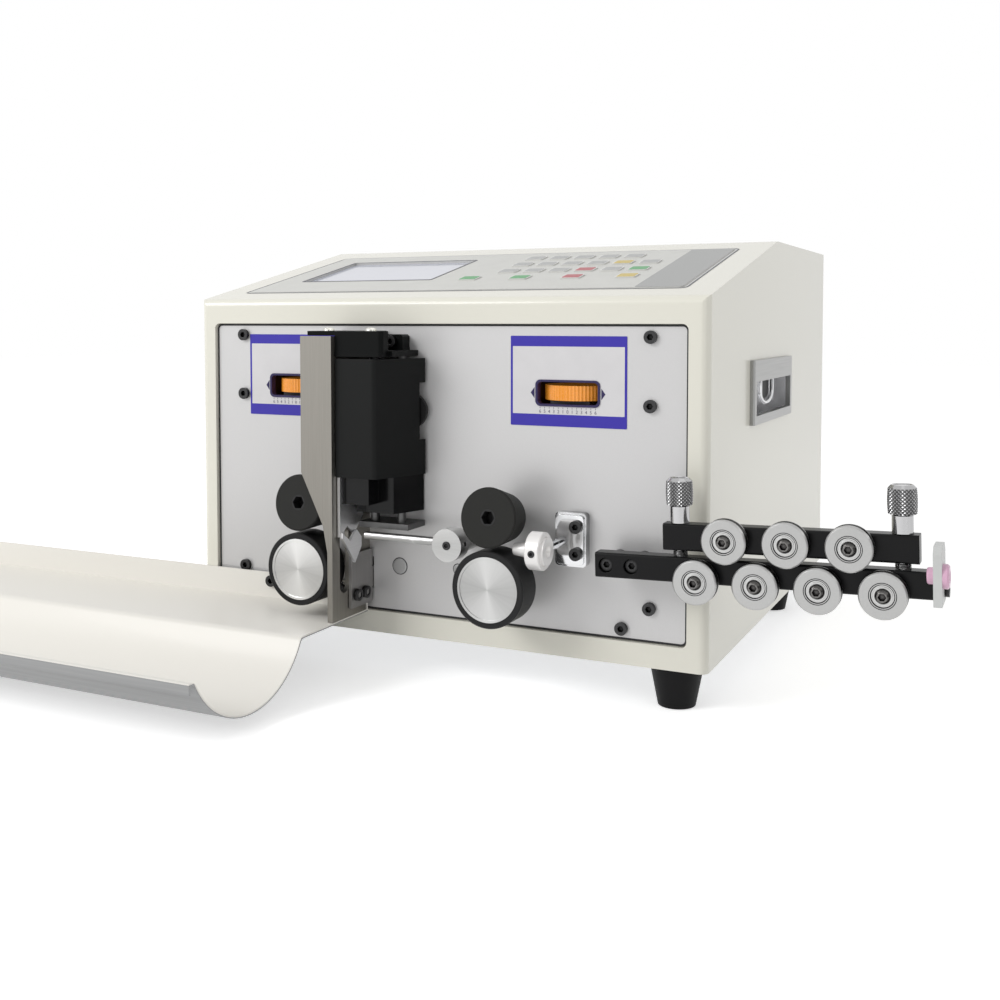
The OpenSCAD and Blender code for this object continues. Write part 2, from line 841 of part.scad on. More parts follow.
module pull_handle() {
  rim_x = side_x;
  pan = handle_rim + sheet_gap;
  y0 = mid_y + handle_y - handle_l / 2;
  y1 = mid_y + handle_y + handle_l / 2;
  in_y0 = y0 + pan + handle_t;
  in_y1 = y1 - pan - handle_t;
  mouth_low = handle_low + pan + handle_t;
  mouth_high = handle_high - handle_brow;
  scoop_r = handle_depth - handle_t;
  bevel = 1.2;
  difference() {
    union() {
      // Rim with bevelled ends
      translate([0, 0, handle_low])
        linear_extrude(handle_h)
          polygon([
            [rim_x, y0], [rim_x + handle_proud - bevel, y0], [rim_x + handle_proud, y0 + bevel],
            [rim_x + handle_proud, y1 - bevel], [rim_x + handle_proud - bevel, y1], [rim_x, y1]
          ]);
      span(
        [rim_x - handle_depth, y0 + pan, handle_low + pan],
        [rim_x + eps, y1 - pan, handle_high - pan]
      );
    }
    // Finger room behind the brow
    span(
      [rim_x - scoop_r, in_y0, mouth_low + scoop_r],
      [rim_x - eps, in_y1, handle_high - pan - handle_t]
    );
    // Scoop and mouth
    intersection() {
      translate([rim_x, in_y0, mouth_low + scoop_r])
        rod_along_y(scoop_r, in_y1 - in_y0);
      span([rim_x - handle_depth, in_y0 - 1, mouth_low], [rim_x + wall, in_y1 + 1, mouth_high]);
    }
    span([rim_x - eps, in_y0, mouth_low], [rim_x + 2 * handle_proud, in_y1, mouth_high]);
  }
}

module pull_handles() {
  color([0.8, 0.81, 0.83])
    both_sides()
      pull_handle();
}

// The collecting tray

module tray_profile() {
  flange_y = front_y - sheet_gap;
  centre_y = front_y - trough_out;
  // Bends that touch the trough's outer face and the under side of the level sheet
  bend_drop = trough_z - tray_ledge_z + tray_t + tray_bend;
  bend_span = trough_r + tray_t + tray_bend;
  bend_y = sqrt(bend_span * bend_span - bend_drop * bend_drop);
  bend_deg = asin(bend_drop / bend_span);
  lip_y = centre_y - bend_y - tray_lip;
  // Flange on the panel
  translate([flange_y - tray_t, tray_ledge_z - tray_t])
    square([tray_t, tray_flange + tray_t]);
  // Ledge under the rollers
  translate([centre_y + bend_y, tray_ledge_z - tray_t])
    square([flange_y - centre_y - bend_y, tray_t]);
  // Trough and its bends
  translate([centre_y, trough_z]) {
    sheet_arc(trough_r, 180 + bend_deg, 360 - bend_deg);
    translate([bend_y, -bend_drop])
      sheet_arc(tray_bend, 90, 180 - bend_deg);
    translate([-bend_y, -bend_drop])
      sheet_arc(tray_bend, bend_deg, 90);
  }
  // Front lip and hem
  translate([lip_y, tray_ledge_z - tray_t])
    square([tray_lip, tray_t]);
  translate([lip_y, tray_ledge_z - tray_hem])
    square([tray_t, tray_hem]);
}

// Bent stretch of the tray's sheet about the origin, from one angle to another
module sheet_arc(r, from, to) {
  reach = 2 * (r + tray_t);
  middle = (from + to) / 2;
  intersection() {
    difference() {
      circle(r = r + tray_t, $fn = 160);
      circle(r = r, $fn = 160);
    }
    polygon([[0, 0], for (a = [from, middle, to]) reach * [cos(a), sin(a)]]);
  }
}

tray_x1 = side_plate_x;
tray_x0 = tray_x1 - tray_l;
tray_screw_z = tray_ledge_z + tray_flange - 6;
tray_screws_x = [tray_x1 - 83.4, tray_x1 - 22];

module collecting_tray() {
  boss_r = 5;
  color([0.93, 0.92, 0.87])
    difference() {
      union() {
        along_x(tray_x0, tray_l)
          tray_profile();
        for (x = tray_screws_x)
          translate([x, front_y - sheet_gap - eps, tray_screw_z])
            rod_along_y(boss_r, panel_recess + sheet_gap + eps);
      }
      for (x = tray_screws_x)
        translate([x, front_y - wall - tray_t, tray_screw_z])
          rod_along_y(screw_r + slide_gap / 2, panel_recess + 3 * wall + tray_t);
    }
}

// The cutter outside the panel

module side_plate() {
  slant_top = wire_z + 43;
  slant_low = wire_z + 7;
  foot_z = tray_ledge_z + sheet_gap;
  slot_low = wire_z - 42;
  slot_high = wire_z + 5;
  x1 = side_plate_x;
  color([0.72, 0.71, 0.69])
    difference() {
      union() {
        span([web_left, plate_front, foot_z], [x1, panel_y, plate_top]);
        along_y(plate_front, flange_t)
          polygon([
            [x1 - flange_w, plate_top], [x1, plate_top], [x1, foot_z], [x1 - flange_foot_w, foot_z],
            [x1 - flange_foot_w, slant_low - 19], [x1 - 0.3 * flange_w, slant_low],
            [x1 - flange_w, slant_top]
          ]);
      }
      // Corner cut for the tray's flange
      span(
        [web_left - web_t, front_y - tray_t - 1.5, foot_z - 1],
        [x1 + web_t, panel_y + 1, tray_ledge_z + tray_flange + 1]
      );
      // Slot for the wire and the blades
      translate([web_left - web_t, wire_y, (slot_low + slot_high) / 2])
        rotate([90, 0, 90])
          linear_extrude(3 * web_t)
            round_rect(11, slot_high - slot_low, 5.4);
    }
}

// Front face and right end of the cutter head
head_front = panel_y - 45;
core_right = head_right - 23;
ear_front = panel_y - 10;
ear_right = head_right - 4;

module cutter_head() {
  left = side_plate_x + 0.5;
  cap_left = side_plate_x - flange_w + 2;
  base_t = 4;
  step_right = head_right + 3;
  block_back = head_front + head_front_d;
  ear_top_z = head_top - 2.5;
  front_corner = corner_arc([left, head_front], [head_right, head_front], [head_right, block_back], 3);
  color([0.1, 0.1, 0.1])
    difference() {
      union() {
        // Base that holds the rods
        translate([0, 0, head_bottom])
          linear_extrude(base_t)
            polygon([
              [left, head_front + 3], [head_right - 0.5, head_front + 3], [head_right - 0.5, block_back],
              [step_right, block_back], [step_right, panel_y], [left, panel_y]
            ]);
        translate([0, 0, head_bottom])
          linear_extrude(head_top - head_bottom)
            polygon(concat([[left, head_front]], front_corner, [
              [head_right, block_back], [core_right, block_back], [core_right, panel_y], [left, panel_y]
            ]));
        span([cap_left, head_front + 2, plate_top + sheet_gap], [left + 1, panel_y, head_top]);
        // Ear with its screw
        along_y(ear_front, panel_y - ear_front)
          polygon([
            [core_right - 1, head_bottom + 1], [ear_right + 1, head_bottom + 1], [ear_right, head_bottom + 6],
            [ear_right, ear_top_z - 1.5], [ear_right - 1.5, ear_top_z], [core_right - 1, ear_top_z]
          ]);
      }
      for (x = rod_x)
        translate([x, rod_y, head_bottom - eps])
          cylinder(r = rod_r + run_fit, h = base_t - 0.5);
    }
}

module rod_guide() {
  plate_x0 = stack_x;
  plate_x1 = -5;
  color([0.6, 0.6, 0.6])
    union() {
      span([plate_x0, rod_y - 9, foot_plate_z], [plate_x1, panel_y, foot_plate_z + foot_plate_t]);
      for (x = rod_x)
        translate([x, rod_y, foot_plate_z + eps])
          cylinder(r = rod_r, h = head_bottom + 3 - foot_plate_z);
    }
}

module upper_blade_holder() {
  clamp_x = upper_blade_x + blade_t;
  clamp_front = wire_y - 6;
  clamp_right = stack_x + 18;
  clamp_rise = blade_stroke + 1;
  left_x = stack_x;
  front = rod_y - 12;
  rear = panel_y - 1;
  nut_y0 = lead_screw_y - 9;
  nut_y1 = lead_screw_y + 9;
  color([0.12, 0.12, 0.12])
    difference() {
      union() {
        translate([0, 0, holder_bottom])
          linear_extrude(holder_h)
            polygon([
              [left_x, front], [cover_inner_x(front) - 2 * slide_gap, front],
              [cover_inner_x(rear) - 2 * slide_gap, rear], [left_x, rear]
            ]);
        span(
          [clamp_x, clamp_front, holder_bottom + clamp_rise],
          [clamp_right, rear - 8, holder_bottom + holder_h]
        );
        span(
          [lead_screw_x - tongue_w / 2, rear - eps, upper_nut_z],
          [lead_screw_x + tongue_w / 2, nut_y1, upper_nut_z + nut_h]
        );
        span([lead_screw_x - 10, nut_y0, upper_nut_z], [lead_screw_x + 10, nut_y1, upper_nut_z + nut_h]);
      }
      for (x = rod_x)
        translate([x, rod_y, holder_bottom - eps])
          cylinder(r = rod_r + run_fit, h = holder_h + 1);
      translate([lead_screw_x, lead_screw_y, upper_nut_z - eps])
        cylinder(r = lead_screw_r + run_fit, h = nut_h + 1);
    }
}

// Inner face of the cover's right wall at a depth y
function cover_inner_x(y) = cover_left + cover_front_w - cover_wall + cover_slant * (y - cover_front);

// Blade outline in the YZ plane for an upper blade, notch downwards
module blade_outline(root) {
  front = wire_y - notch_half;
  rear = wire_y + notch_half;
  tip = wire_z - 1.5;
  apex = wire_z + blade_open;
  difference() {
    polygon([
      [front, tip], [front, root], [rear + 12, root], [rear + 12, tip + 12], [rear, tip]
    ]);
    polygon([[front - eps, tip - eps], [wire_y, apex], [rear + eps, tip - eps]]);
    translate([wire_y, apex - 0.6])
      circle(r = 0.9);
  }
}

module upper_blade() {
  root = holder_bottom + holder_h - 6;
  color([0.85, 0.86, 0.88])
    along_x(upper_blade_x, blade_t)
      blade_outline(root);
}

module lower_blade() {
  front = wire_y - notch_half;
  rear = wire_y + notch_half;
  top = wire_z + 1.5;
  apex = wire_z - blade_open;
  color([0.85, 0.86, 0.88])
    along_x(lower_blade_x, blade_t)
      difference() {
        // Outline with a point at its foot
        polygon([
          [front, top], [front, wire_z - 2], [wire_y + 6.6, wire_z - 21.6],
          [rear + 6, wire_z - 11], [rear + 6, top - 6], [rear, top]
        ]);
        polygon([[front - eps, top + eps], [wire_y, apex], [rear + eps, top + eps]]);
        translate([wire_y, apex + 0.6])
          circle(r = 0.9);
      }
}

module lower_blade_holder() {
  front = wire_y + 5;
  rear = panel_y - 1.5;
  top = wire_z - 10 - blade_stroke;
  bottom = base_z + 22;
  x0 = lower_plate_x;
  x1 = lower_plate_x + lower_plate_t;
  nut_y0 = lead_screw_y - 9;
  nut_y1 = lead_screw_y + 9;
  color([0.62, 0.61, 0.6])
    difference() {
      union() {
        span([x0, front, bottom], [x1, rear, top]);
        span([x0, rear - eps, lower_nut_z], [x1, nut_y1, lower_nut_z + nut_h]);
        span([x0, nut_y0, lower_nut_z], [lead_screw_x + 10, nut_y1, lower_nut_z + nut_h]);
        // Heads of the two clamp screws
        for (y = [wire_y + 11, wire_y + 22])
          translate([x1 - eps, y, bottom + 9])
            rod_along_x(screw_head_r, screw_head_h);
      }
      translate([lead_screw_x, lead_screw_y, lower_nut_z - eps])
        cylinder(r = lead_screw_r + run_fit, h = nut_h + 1);
    }
}

module blade_cover() {
  x0 = cover_left;
  notch_half_h = 20;
  notch_d = 5;
  inner = cover_wall;
  z0 = cover_top - cover_h;
  corner = [x0 + cover_front_w, cover_front];
  rear_corner = [x0 + cover_rear_w, cover_rear];
  color([0.13, 0.14, 0.14])
    difference() {
      translate([0, 0, z0])
        linear_extrude(cover_h)
          polygon(concat(
            [[x0, cover_front]],
            corner_arc([x0, cover_front], corner, rear_corner, 4),
            [rear_corner, [x0, cover_rear]]
          ));
      translate([0, 0, z0 - 1])
        linear_extrude(cover_h + 2)
          polygon([
            [x0 - 1, cover_front + inner], [x0 + cover_front_w - inner, cover_front + inner],
            [x0 + cover_rear_w - inner + cover_slant, cover_rear + 1], [x0 - 1, cover_rear + 1]
          ]);
      // Finger notch at the knob
      span(
        [x0 + cover_front_w, cover_rear - notch_d, knob_z - notch_half_h],
        [x0 + cover_rear_w + 1, cover_rear + 1, knob_z + notch_half_h]
      );
    }
}

module cover_knob() {
  knob_front = cover_rear - knob_t - 0.5;
  color([0.06, 0.06, 0.06])
    translate([knob_x, knob_front, knob_z])
      union() {
        rod_along_y(knob_r, knob_t);
        rod_along_y(screw_r + 1, panel_back - knob_front - 0.5);
      }
}

// The cutter's drive behind the panel

module cutter_frame() {
  frame_x0 = lead_screw_x - motor_side / 2;
  frame_x1 = lead_screw_x + motor_side / 2;
  frame_t = 6;
  rear = lead_screw_y + motor_side / 2;
  spine = 8;
  color([0.6, 0.61, 0.63])
    difference() {
      union() {
        span([frame_x0, panel_back, frame_high_z], [frame_x1, rear, frame_high_z + frame_t]);
        span([frame_x0, panel_back, frame_low_z], [frame_x1, rear, frame_low_z + frame_t]);
        span(
          [frame_x1 - spine, panel_back, frame_low_z],
          [frame_x1, panel_back + frame_t, frame_high_z + frame_t]
        );
      }
      translate([lead_screw_x, lead_screw_y, frame_low_z + 2])
        cylinder(r = lead_screw_r + run_fit, h = frame_t);
      translate([lead_screw_x, lead_screw_y, frame_high_z - eps])
        cylinder(r = lead_screw_r + run_fit, h = frame_t + 1);
    }
}

// Body of a square stepping motor along +Z with its shaft hole
module stepping_motor(len, bore_r, bore_l) {
  cut = 4;
  h = motor_side / 2;
  difference() {
    union() {
      linear_extrude(len * 0.2)
        motor_outline(h, cut);
      translate([0, 0, len * 0.2 - eps])
        linear_extrude(len * 0.6 + 2 * eps)
          motor_outline(h - 0.8, cut);
      translate([0, 0, len * 0.8])
        linear_extrude(len * 0.2)
          motor_outline(h, cut);
    }
    translate([0, 0, -eps])
      cylinder(r = bore_r, h = bore_l);
  }
}

module motor_outline(h, cut) {
  polygon([
    [-h, -h + cut], [-h, h - cut], [-h + cut, h], [h - cut, h],
    [h, h - cut], [h, -h + cut], [h - cut, -h], [-h + cut, -h]
  ]);
}

module lead_screw() {
  color([0.8, 0.81, 0.82])
    translate([lead_screw_x, lead_screw_y, frame_low_z + 2 + eps])
      cylinder(r = lead_screw_r, h = frame_high_z + 6 + 20 - frame_low_z - 2);
}

// Feed rollers and their drive

module stepping_motors() {
  color([0.15, 0.15, 0.16]) {
    for (x = [left_roller_x, right_roller_x])
      translate([x, panel_back, drive_z])
        rotate([-90, 0, 0])
          stepping_motor(feed_motor_l, shaft_r + run_fit, 22);
    translate([lead_screw_x, lead_screw_y, frame_high_z + 6])
      stepping_motor(cutter_motor_l, lead_screw_r + run_fit, 22);
  }
}

module drive_bearings() {
  gap = 0.6;
  color([0.7, 0.7, 0.72])
    for (x = [left_roller_x, right_roller_x])
      translate([x, drive_back + gap, drive_z])
        difference() {
          union() {
            rod_along_y(sleeve_r, panel_y - drive_back - gap);
            rod_along_y(spigot_r, panel_back - drive_back - gap - eps);
          }
          translate([0, -1, 0])
            rod_along_y(shaft_r + run_fit, panel_back - drive_back + 2);
        }
}

module drive_wheel(x) {
  dish_r = core_r - 1.6;
  dish_d = 0.5;
  color([0.86, 0.86, 0.86])
    translate([x, drive_face, drive_z])
      difference() {
        union() {
          rod_along_y(core_r, roller_w);
          rod_along_y(shaft_r, panel_back + 20 - drive_face);
        }
        translate([0, -eps, 0])
          rod_along_y(dish_r, dish_d);
      }
}

module drive_tyre(x) {
  crown = 0.8;
  color([0.16, 0.16, 0.17])
    translate([x, drive_face, drive_z])
      rotate([-90, 0, 0])
        rotate_extrude()
          polygon([
            [core_r + run_fit, 0], [drive_r - crown, 0], [drive_r, crown],
            [drive_r, roller_w - crown], [drive_r - crown, roller_w], [core_r + run_fit, roller_w]
          ]);
}

module press_roller(x) {
  crown = 1;
  color([0.22, 0.22, 0.21])
    on_press_axle(x)
      rotate([-90, 0, 0])
        rotate_extrude()
          polygon([
            [press_bore_r + run_fit, 0], [press_r - crown, 0], [press_r, crown],
            [press_rear_r, press_l], [press_tail_r, press_l + press_tail_l],
            [press_bore_r + run_fit, press_l + press_tail_l]
          ]);
}

module press_arm(x, gap_x) {
  bar_from = (panel_back + 5 - press_face_y) / cos(press_tilt);
  bar_to = pivot_run / cos(press_tilt) + arm_half;
  socket_d = 9;
  away = gap_x > x ? 1 : -1;
  ear_end = gap_x + away * ear_half;
  color([0.55, 0.56, 0.58])
    difference() {
      union() {
        on_press_axle(x) {
          rod_along_y(press_bore_r, press_l + press_tail_l);
          rod_along_y(axle_r, bar_from + 1);
          span([-arm_half, bar_from, -arm_half], [arm_half, bar_to, arm_half]);
        }
        span(
          [min(x, ear_end), wheel_y - ear_half, ear_bottom],
          [max(x, ear_end), wheel_y + ear_half, ear_top]
        );
      }
      on_press_axle(x)
        translate([0, -eps, 0])
          rotate([-90, 0, 0])
            cylinder(d = hex_socket_d, h = socket_d, $fn = 6);
      translate([x - 2 * arm_half, pivot_y, pivot_z])
        rod_along_x(pivot_r + run_fit, 4 * arm_half);
      translate([gap_x, wheel_y, ear_bottom - eps])
        cylinder(r = spindle_r + 1.6, h = ear_t + 1);
    }
}

module press_brackets() {
  color([0.66, 0.67, 0.69])
    for (place = [[left_roller_x, left_gap_x], [right_roller_x, right_gap_x]]) {
      x = place[0];
      gap_x = place[1];
      cheek_x = arm_half + slide_gap;
      union() {
        for (sx = [-1, 1])
          span(
            [x + sx * (cheek_x + cheek_t / 2) - cheek_t / 2, panel_back, cheek_bottom],
            [x + sx * (cheek_x + cheek_t / 2) + cheek_t / 2, pivot_y + 8, cheek_top]
          );
        translate([x - cheek_x - cheek_t, pivot_y, pivot_z])
          rod_along_x(pivot_r, 2 * (cheek_x + cheek_t));
      }
      difference() {
        span(
          [gap_x - 14, panel_back, wheel_bottom - sheet_gap - shelf_t],
          [gap_x + 14, wheel_y + 12, wheel_bottom - sheet_gap]
        );
        translate([gap_x, wheel_y, wheel_bottom - sheet_gap - shelf_t - eps])
          cylinder(r = spindle_r + run_fit, h = shelf_t + 1);
      }
    }
}

module gap_wheel(x) {
  groove = 0.5;
  nut_r = 6.5;
  nut_t = 4;
  nut_z = ear_bottom - sheet_gap - nut_t;
  color([0.95, 0.55, 0.12])
    translate([x, wheel_y, 0])
      union() {
        translate([0, 0, wheel_bottom])
          linear_extrude(gap_wheel_h)
            polygon([
              for (i = [0:2 * gap_wheel_grooves - 1])
                let (a = 180 * i / gap_wheel_grooves)
                (gap_wheel_r - groove * (i % 2)) * [cos(a), sin(a)]
            ]);
        translate([0, 0, nut_z])
          cylinder(r = spindle_r, h = wheel_bottom - nut_z + eps);
        translate([0, 0, nut_z])
          cylinder(r = nut_r, h = nut_t, $fn = 6);
      }
}

// Conduit, inlet guide and inlet block

module conduit_arm() {
  neck_r = stem_r + 3;
  neck_l = panel_y - 2 - disc_back;
  socket_d = 3;
  color([0.85, 0.85, 0.86])
    difference() {
      union() {
        translate([conduit_x, disc_front, conduit_z])
          rod_along_y(conduit_disc_r, conduit_disc_t);
        translate([conduit_x, disc_back - eps, conduit_z])
          rod_along_y(neck_r, neck_l);
        translate([conduit_x, disc_back, conduit_z])
          rod_along_y(stem_r, panel_back + 20 - disc_back);
        translate([conduit_x - tube_l, wire_y, wire_z])
          rod_along_x(tube_r, tube_l);
      }
      translate([conduit_x - tube_l - 1, wire_y, wire_z])
        rod_along_x(wire_bore_r, tube_l + conduit_disc_r + 4);
      translate([conduit_x, disc_front - eps, conduit_z])
        rotate([-90, 0, 0])
          cylinder(d = 6, h = socket_d, $fn = 6);
    }
}

module swing_motor() {
  can_r = 11;
  can_l = 40;
  color([0.2, 0.2, 0.22])
    translate([conduit_x, panel_back, conduit_z])
      difference() {
        rod_along_y(can_r, can_l);
        translate([0, -eps, 0])
          rod_along_y(stem_r + run_fit, 22);
      }
}

post_x = inlet_x - 6;
post_tip = wire_y + 6;

module inlet_guide() {
  nose_l = 11.6;
  nose_tip_r = 4;
  nose_r = 5.4;
  rim_l = 2;
  inner_x = inlet_x - inlet_l;
  color([0.88, 0.88, 0.88])
    difference() {
      translate([inner_x, wire_y, wire_z])
        rotate([0, 90, 0])
          rotate_extrude()
            polygon([
              [wire_bore_r, 0], [nose_tip_r, 0], [nose_r, nose_l - 1], [nose_r, nose_l],
              [inlet_r - 0.6, nose_l], [inlet_r, nose_l + 0.6], [inlet_r, inlet_l - rim_l - 0.6],
              [inlet_r - 0.6, inlet_l - rim_l], [inlet_flange_r, inlet_l - rim_l],
              [inlet_flange_r, inlet_l], [wire_bore_r + 2.5, inlet_l], [wire_bore_r, inlet_l - 5]
            ]);
      // Set screw hole
      translate([post_x, wire_y - inlet_r - 1, wire_z])
        rod_along_y(1.8, inlet_r - wire_bore_r - 1);
      // Hole of the post
      translate([post_x, post_tip - 0.3, wire_z])
        rod_along_y(post_r + run_fit, inlet_r);
    }
}

block_x0 = inlet_x - 6.5;
block_z0 = wire_z - 14.5;

module inlet_block() {
  front = panel_y - block_d;
  bevel = 1.5;
  mid_x = block_x0 + block_w / 2;
  mid_z = block_z0 + block_h / 2;
  color([0.85, 0.86, 0.88])
    union() {
      along_y(front + bevel, block_d - bevel)
        translate([mid_x, mid_z])
          round_rect(block_w, block_h, 3);
      along_y(front, bevel + eps)
        translate([mid_x, mid_z])
          round_rect(block_w - 2 * bevel, block_h - 2 * bevel, 2.5);
      translate([post_x, post_tip, wire_z])
        rod_along_y(post_r, panel_y - post_tip);
    }
}

// The straightener, in its own sloping frame

// Places of the lower and upper rollers along the wire
function lower_u(i) = straight_from + i * straight_pitch;
function upper_u(i) = upper_from + i * straight_pitch;

module bar_profile(h) {
  round_rect(bar_d, h, 1.5);
}

module lower_bar() {
  bottom = lower_bar_top - lower_bar_h;
  mid = lower_bar_top - lower_bar_h / 2;
  color([0.07, 0.07, 0.08])
    on_straightener()
      difference() {
        union() {
          translate([0, bar_front + bar_d / 2, mid])
            along_x(lower_bar_from, lower_bar_l)
              bar_profile(lower_bar_h);
          for (u = lower_bolts)
            translate([u, bar_back - eps, mid])
              rod_along_y(5, panel_from_wire - bar_back);
        }
        for (u = lower_bolts) {
          translate([u, bar_front - eps, mid])
            rod_along_y(screw_head_r + slide_gap, bolt_sink + eps);
          translate([u, bar_front - eps, mid])
            rod_along_y(screw_r + slide_gap, bar_d + panel_from_wire);
        }
        for (i = [0:lower_count - 1])
          translate([lower_u(i), bar_front - 1, -straight_offset])
            rod_along_y(screw_r + run_fit, bar_d);
        for (u = thumb_u)
          translate([u, bar_front + bar_d / 2, bottom + 2])
            cylinder(r = thread_r + run_fit, h = lower_bar_h);
      }
}

module upper_bar() {
  color([0.07, 0.07, 0.08])
    on_straightener()
      difference() {
        translate([0, bar_front + bar_d / 2, straight_offset])
          along_x(upper_bar_from, upper_bar_l)
            bar_profile(upper_bar_h);
        for (i = [0:upper_count - 1])
          translate([upper_u(i), bar_front - 1, straight_offset])
            rod_along_y(screw_r + run_fit, bar_d);
        for (u = thumb_u)
          translate([u, bar_front + bar_d / 2, upper_bar_bottom - 1])
            cylinder(r = thread_r + run_fit, h = upper_bar_h + 2);
      }
}

// Grooved roller on its bearing, at a place in the straightener's frame
module straight_roller(u, w) {
  half = straight_w / 2;
  edge = 0.8;
  groove_half = 2.2;
  color([0.75, 0.76, 0.77])
    on_straightener()
      translate([u, -half, w])
        rotate([-90, 0, 0])
          rotate_extrude()
            polygon([
              [axle_screw_r + run_fit, 0.4], [axle_head_r + 1, 0.4], [axle_head_r + 1, 0.8],
              [axle_head_r + 2.2, 0.8], [axle_head_r + 2.2, 0], [straight_r - edge, 0],
              [straight_r, edge], [straight_r, half - groove_half], [straight_r - groove_depth, half],
              [straight_r, half + groove_half], [straight_r, straight_w - edge],
              [straight_r - edge, straight_w], [axle_screw_r + run_fit, straight_w]
            ]);
}

// Axle screw of a roller: button head, bearing seat and shank in the bar
module axle_screw(u, w) {
  half = straight_w / 2;
  head_h = 2.8;
  on_straightener()
    translate([u, 0, w])
      difference() {
        union() {
          translate([0, -half - head_h, 0])
            rotate([-90, 0, 0])
              cylinder(r1 = axle_head_r - 1.6, r2 = axle_head_r, h = head_h);
          translate([0, -half - eps, 0])
            rod_along_y(axle_screw_r, straight_w + 1 + eps);
          rod_along_y(screw_r, bar_front + bar_d - 2);
        }
        translate([0, -half - head_h - eps, 0])
          rotate([-90, 0, 0])
            cylinder(d = 4.6, h = 2.4, $fn = 6);
      }
}

module lower_axle_screws() {
  color([0.3, 0.3, 0.3])
    for (i = [0:lower_count - 1])
      axle_screw(lower_u(i), -straight_offset);
}

module upper_axle_screws() {
  color([0.3, 0.3, 0.3])
    for (i = [0:upper_count - 1])
      axle_screw(upper_u(i), straight_offset);
}

module thumb_screw(u) {
  bar_top = straight_offset + upper_bar_h / 2;
  bottom = lower_bar_top - lower_bar_h;
  barrel = 0.9;
  head_z = collar_l;
  color([0.82, 0.83, 0.85])
    on_straightener()
      translate([u, bar_front + bar_d / 2, bar_top])
        rotate_extrude()
          polygon([
            [0, bottom - bar_top + 7], [thread_r, bottom - bar_top + 7],
            [thread_r, sheet_gap], [collar_r, sheet_gap],
            [collar_r, head_z], [thumb_r - barrel, head_z], [thumb_r, head_z + thumb_h * 0.3],
            [thumb_r, head_z + thumb_h * 0.7], [thumb_r - barrel, head_z + thumb_h - 1.5],
            [thumb_r - 2.4, head_z + thumb_h], [0, head_z + thumb_h]
          ]);
}

// Compressed coil spring between the bars, as a closed sleeve of its outer shape
module bar_spring(u) {
  spring_r = thread_r + 2;
  low = lower_bar_top + 0.05;
  high = upper_bar_bottom - 0.05;
  turns = 3;
  wire = (high - low) / turns;
  color([0.7, 0.7, 0.72])
    on_straightener()
      translate([u, bar_front + bar_d / 2, low])
        rotate_extrude()
          polygon(concat(
            [[thread_r + 0.35, 0], [spring_r - 0.5, 0]],
            [for (i = [0:turns - 1], e = [0.5, 1]) [spring_r - (e == 1 ? 0.5 : 0), wire * (i + e)]],
            [[thread_r + 0.35, high - low]]
          ));
}

module end_plate() {
  front = -7;
  back = bar_back;
  bottom = -16.2;
  top = 17;
  chamfer = 4;
  color([0.82, 0.83, 0.82])
    on_straightener()
      difference() {
        along_x(lower_bar_end, end_plate_t)
          polygon([
            [front, bottom], [back, bottom], [back, top - chamfer], [back - chamfer, top],
            [front + chamfer, top], [front, top - chamfer]
          ]);
        translate([lower_bar_end - 1, 0, 0])
          rod_along_x(eyelet_r - 2.4 + run_fit, end_plate_t + 2);
      }
}

module wire_eyelet() {
  inner_r = bar_front - 0.2;
  rim = 3.6;
  waist = eyelet_r - 2.4;
  color([0.92, 0.72, 0.82])
    on_straightener()
      translate([lower_bar_end - rim, 0, 0])
        rotate([0, 90, 0])
          rotate_extrude()
            polygon([
              [eyelet_bore_r + 1, 0], [inner_r - 0.6, 0], [inner_r, 0.8], [inner_r, rim], [waist, rim],
              [waist, rim + end_plate_t], [eyelet_r, rim + end_plate_t],
              [eyelet_r, 2 * rim + end_plate_t - 1],
              [eyelet_r - 1, 2 * rim + end_plate_t], [eyelet_bore_r + 1.4, 2 * rim + end_plate_t],
              [eyelet_bore_r, 2 * rim + end_plate_t - 1.6], [eyelet_bore_r, 1.4]
            ]);
}

// Fasteners in view that belong to the fixed body

module socket_screw(shank) {
  difference() {
    union() {
      translate([0, -screw_head_h, 0])
        rod_along_y(screw_head_r, screw_head_h);
      translate([0, -eps, 0])
        rod_along_y(screw_r, shank + eps);
    }
    translate([0, -screw_head_h - eps, 0])
      rotate([-90, 0, 0])
        cylinder(d = 4.4, h = screw_head_h - 0.6, $fn = 6);
  }
}

module socket_screws() {
  mid = lower_bar_top - lower_bar_h / 2;
  color([0.08, 0.08, 0.08])
    union() {
      at_panel_screws()
        socket_screw(panel_t + wall - 0.5);
      for (x = tray_screws_x)
        translate([x, front_y - sheet_gap - tray_t, tray_screw_z])
          socket_screw(panel_recess);
      on_straightener()
        for (u = lower_bolts)
          translate([u, bar_front + bolt_sink, mid])
            socket_screw(panel_from_wire - bar_front - bolt_sink - 1);
      // Screws of the inlet block
      for (z = [block_z0 + block_h - 9, block_z0 + 9])
        translate([block_x0 + block_w - 6.5, panel_y - block_d, z])
          socket_screw(0);
      // Screw of the cutter head's ear
      translate([ear_right - 9, ear_front, head_bottom + 10])
        socket_screw(0);
      // Screw of the straightener's end plate
      on_straightener()
        translate([lower_bar_end + end_plate_t, bar_front + bar_d / 2, -9.5])
          rotate([0, 0, 90])
            translate([0, 0, 0])
              socket_screw(0);
    }
}

// Inside and rear

inlet_socket_x = -side_x + socket_inset;
inlet_socket_z = base_z + 62;
socket_w = 30;
socket_h = 52;

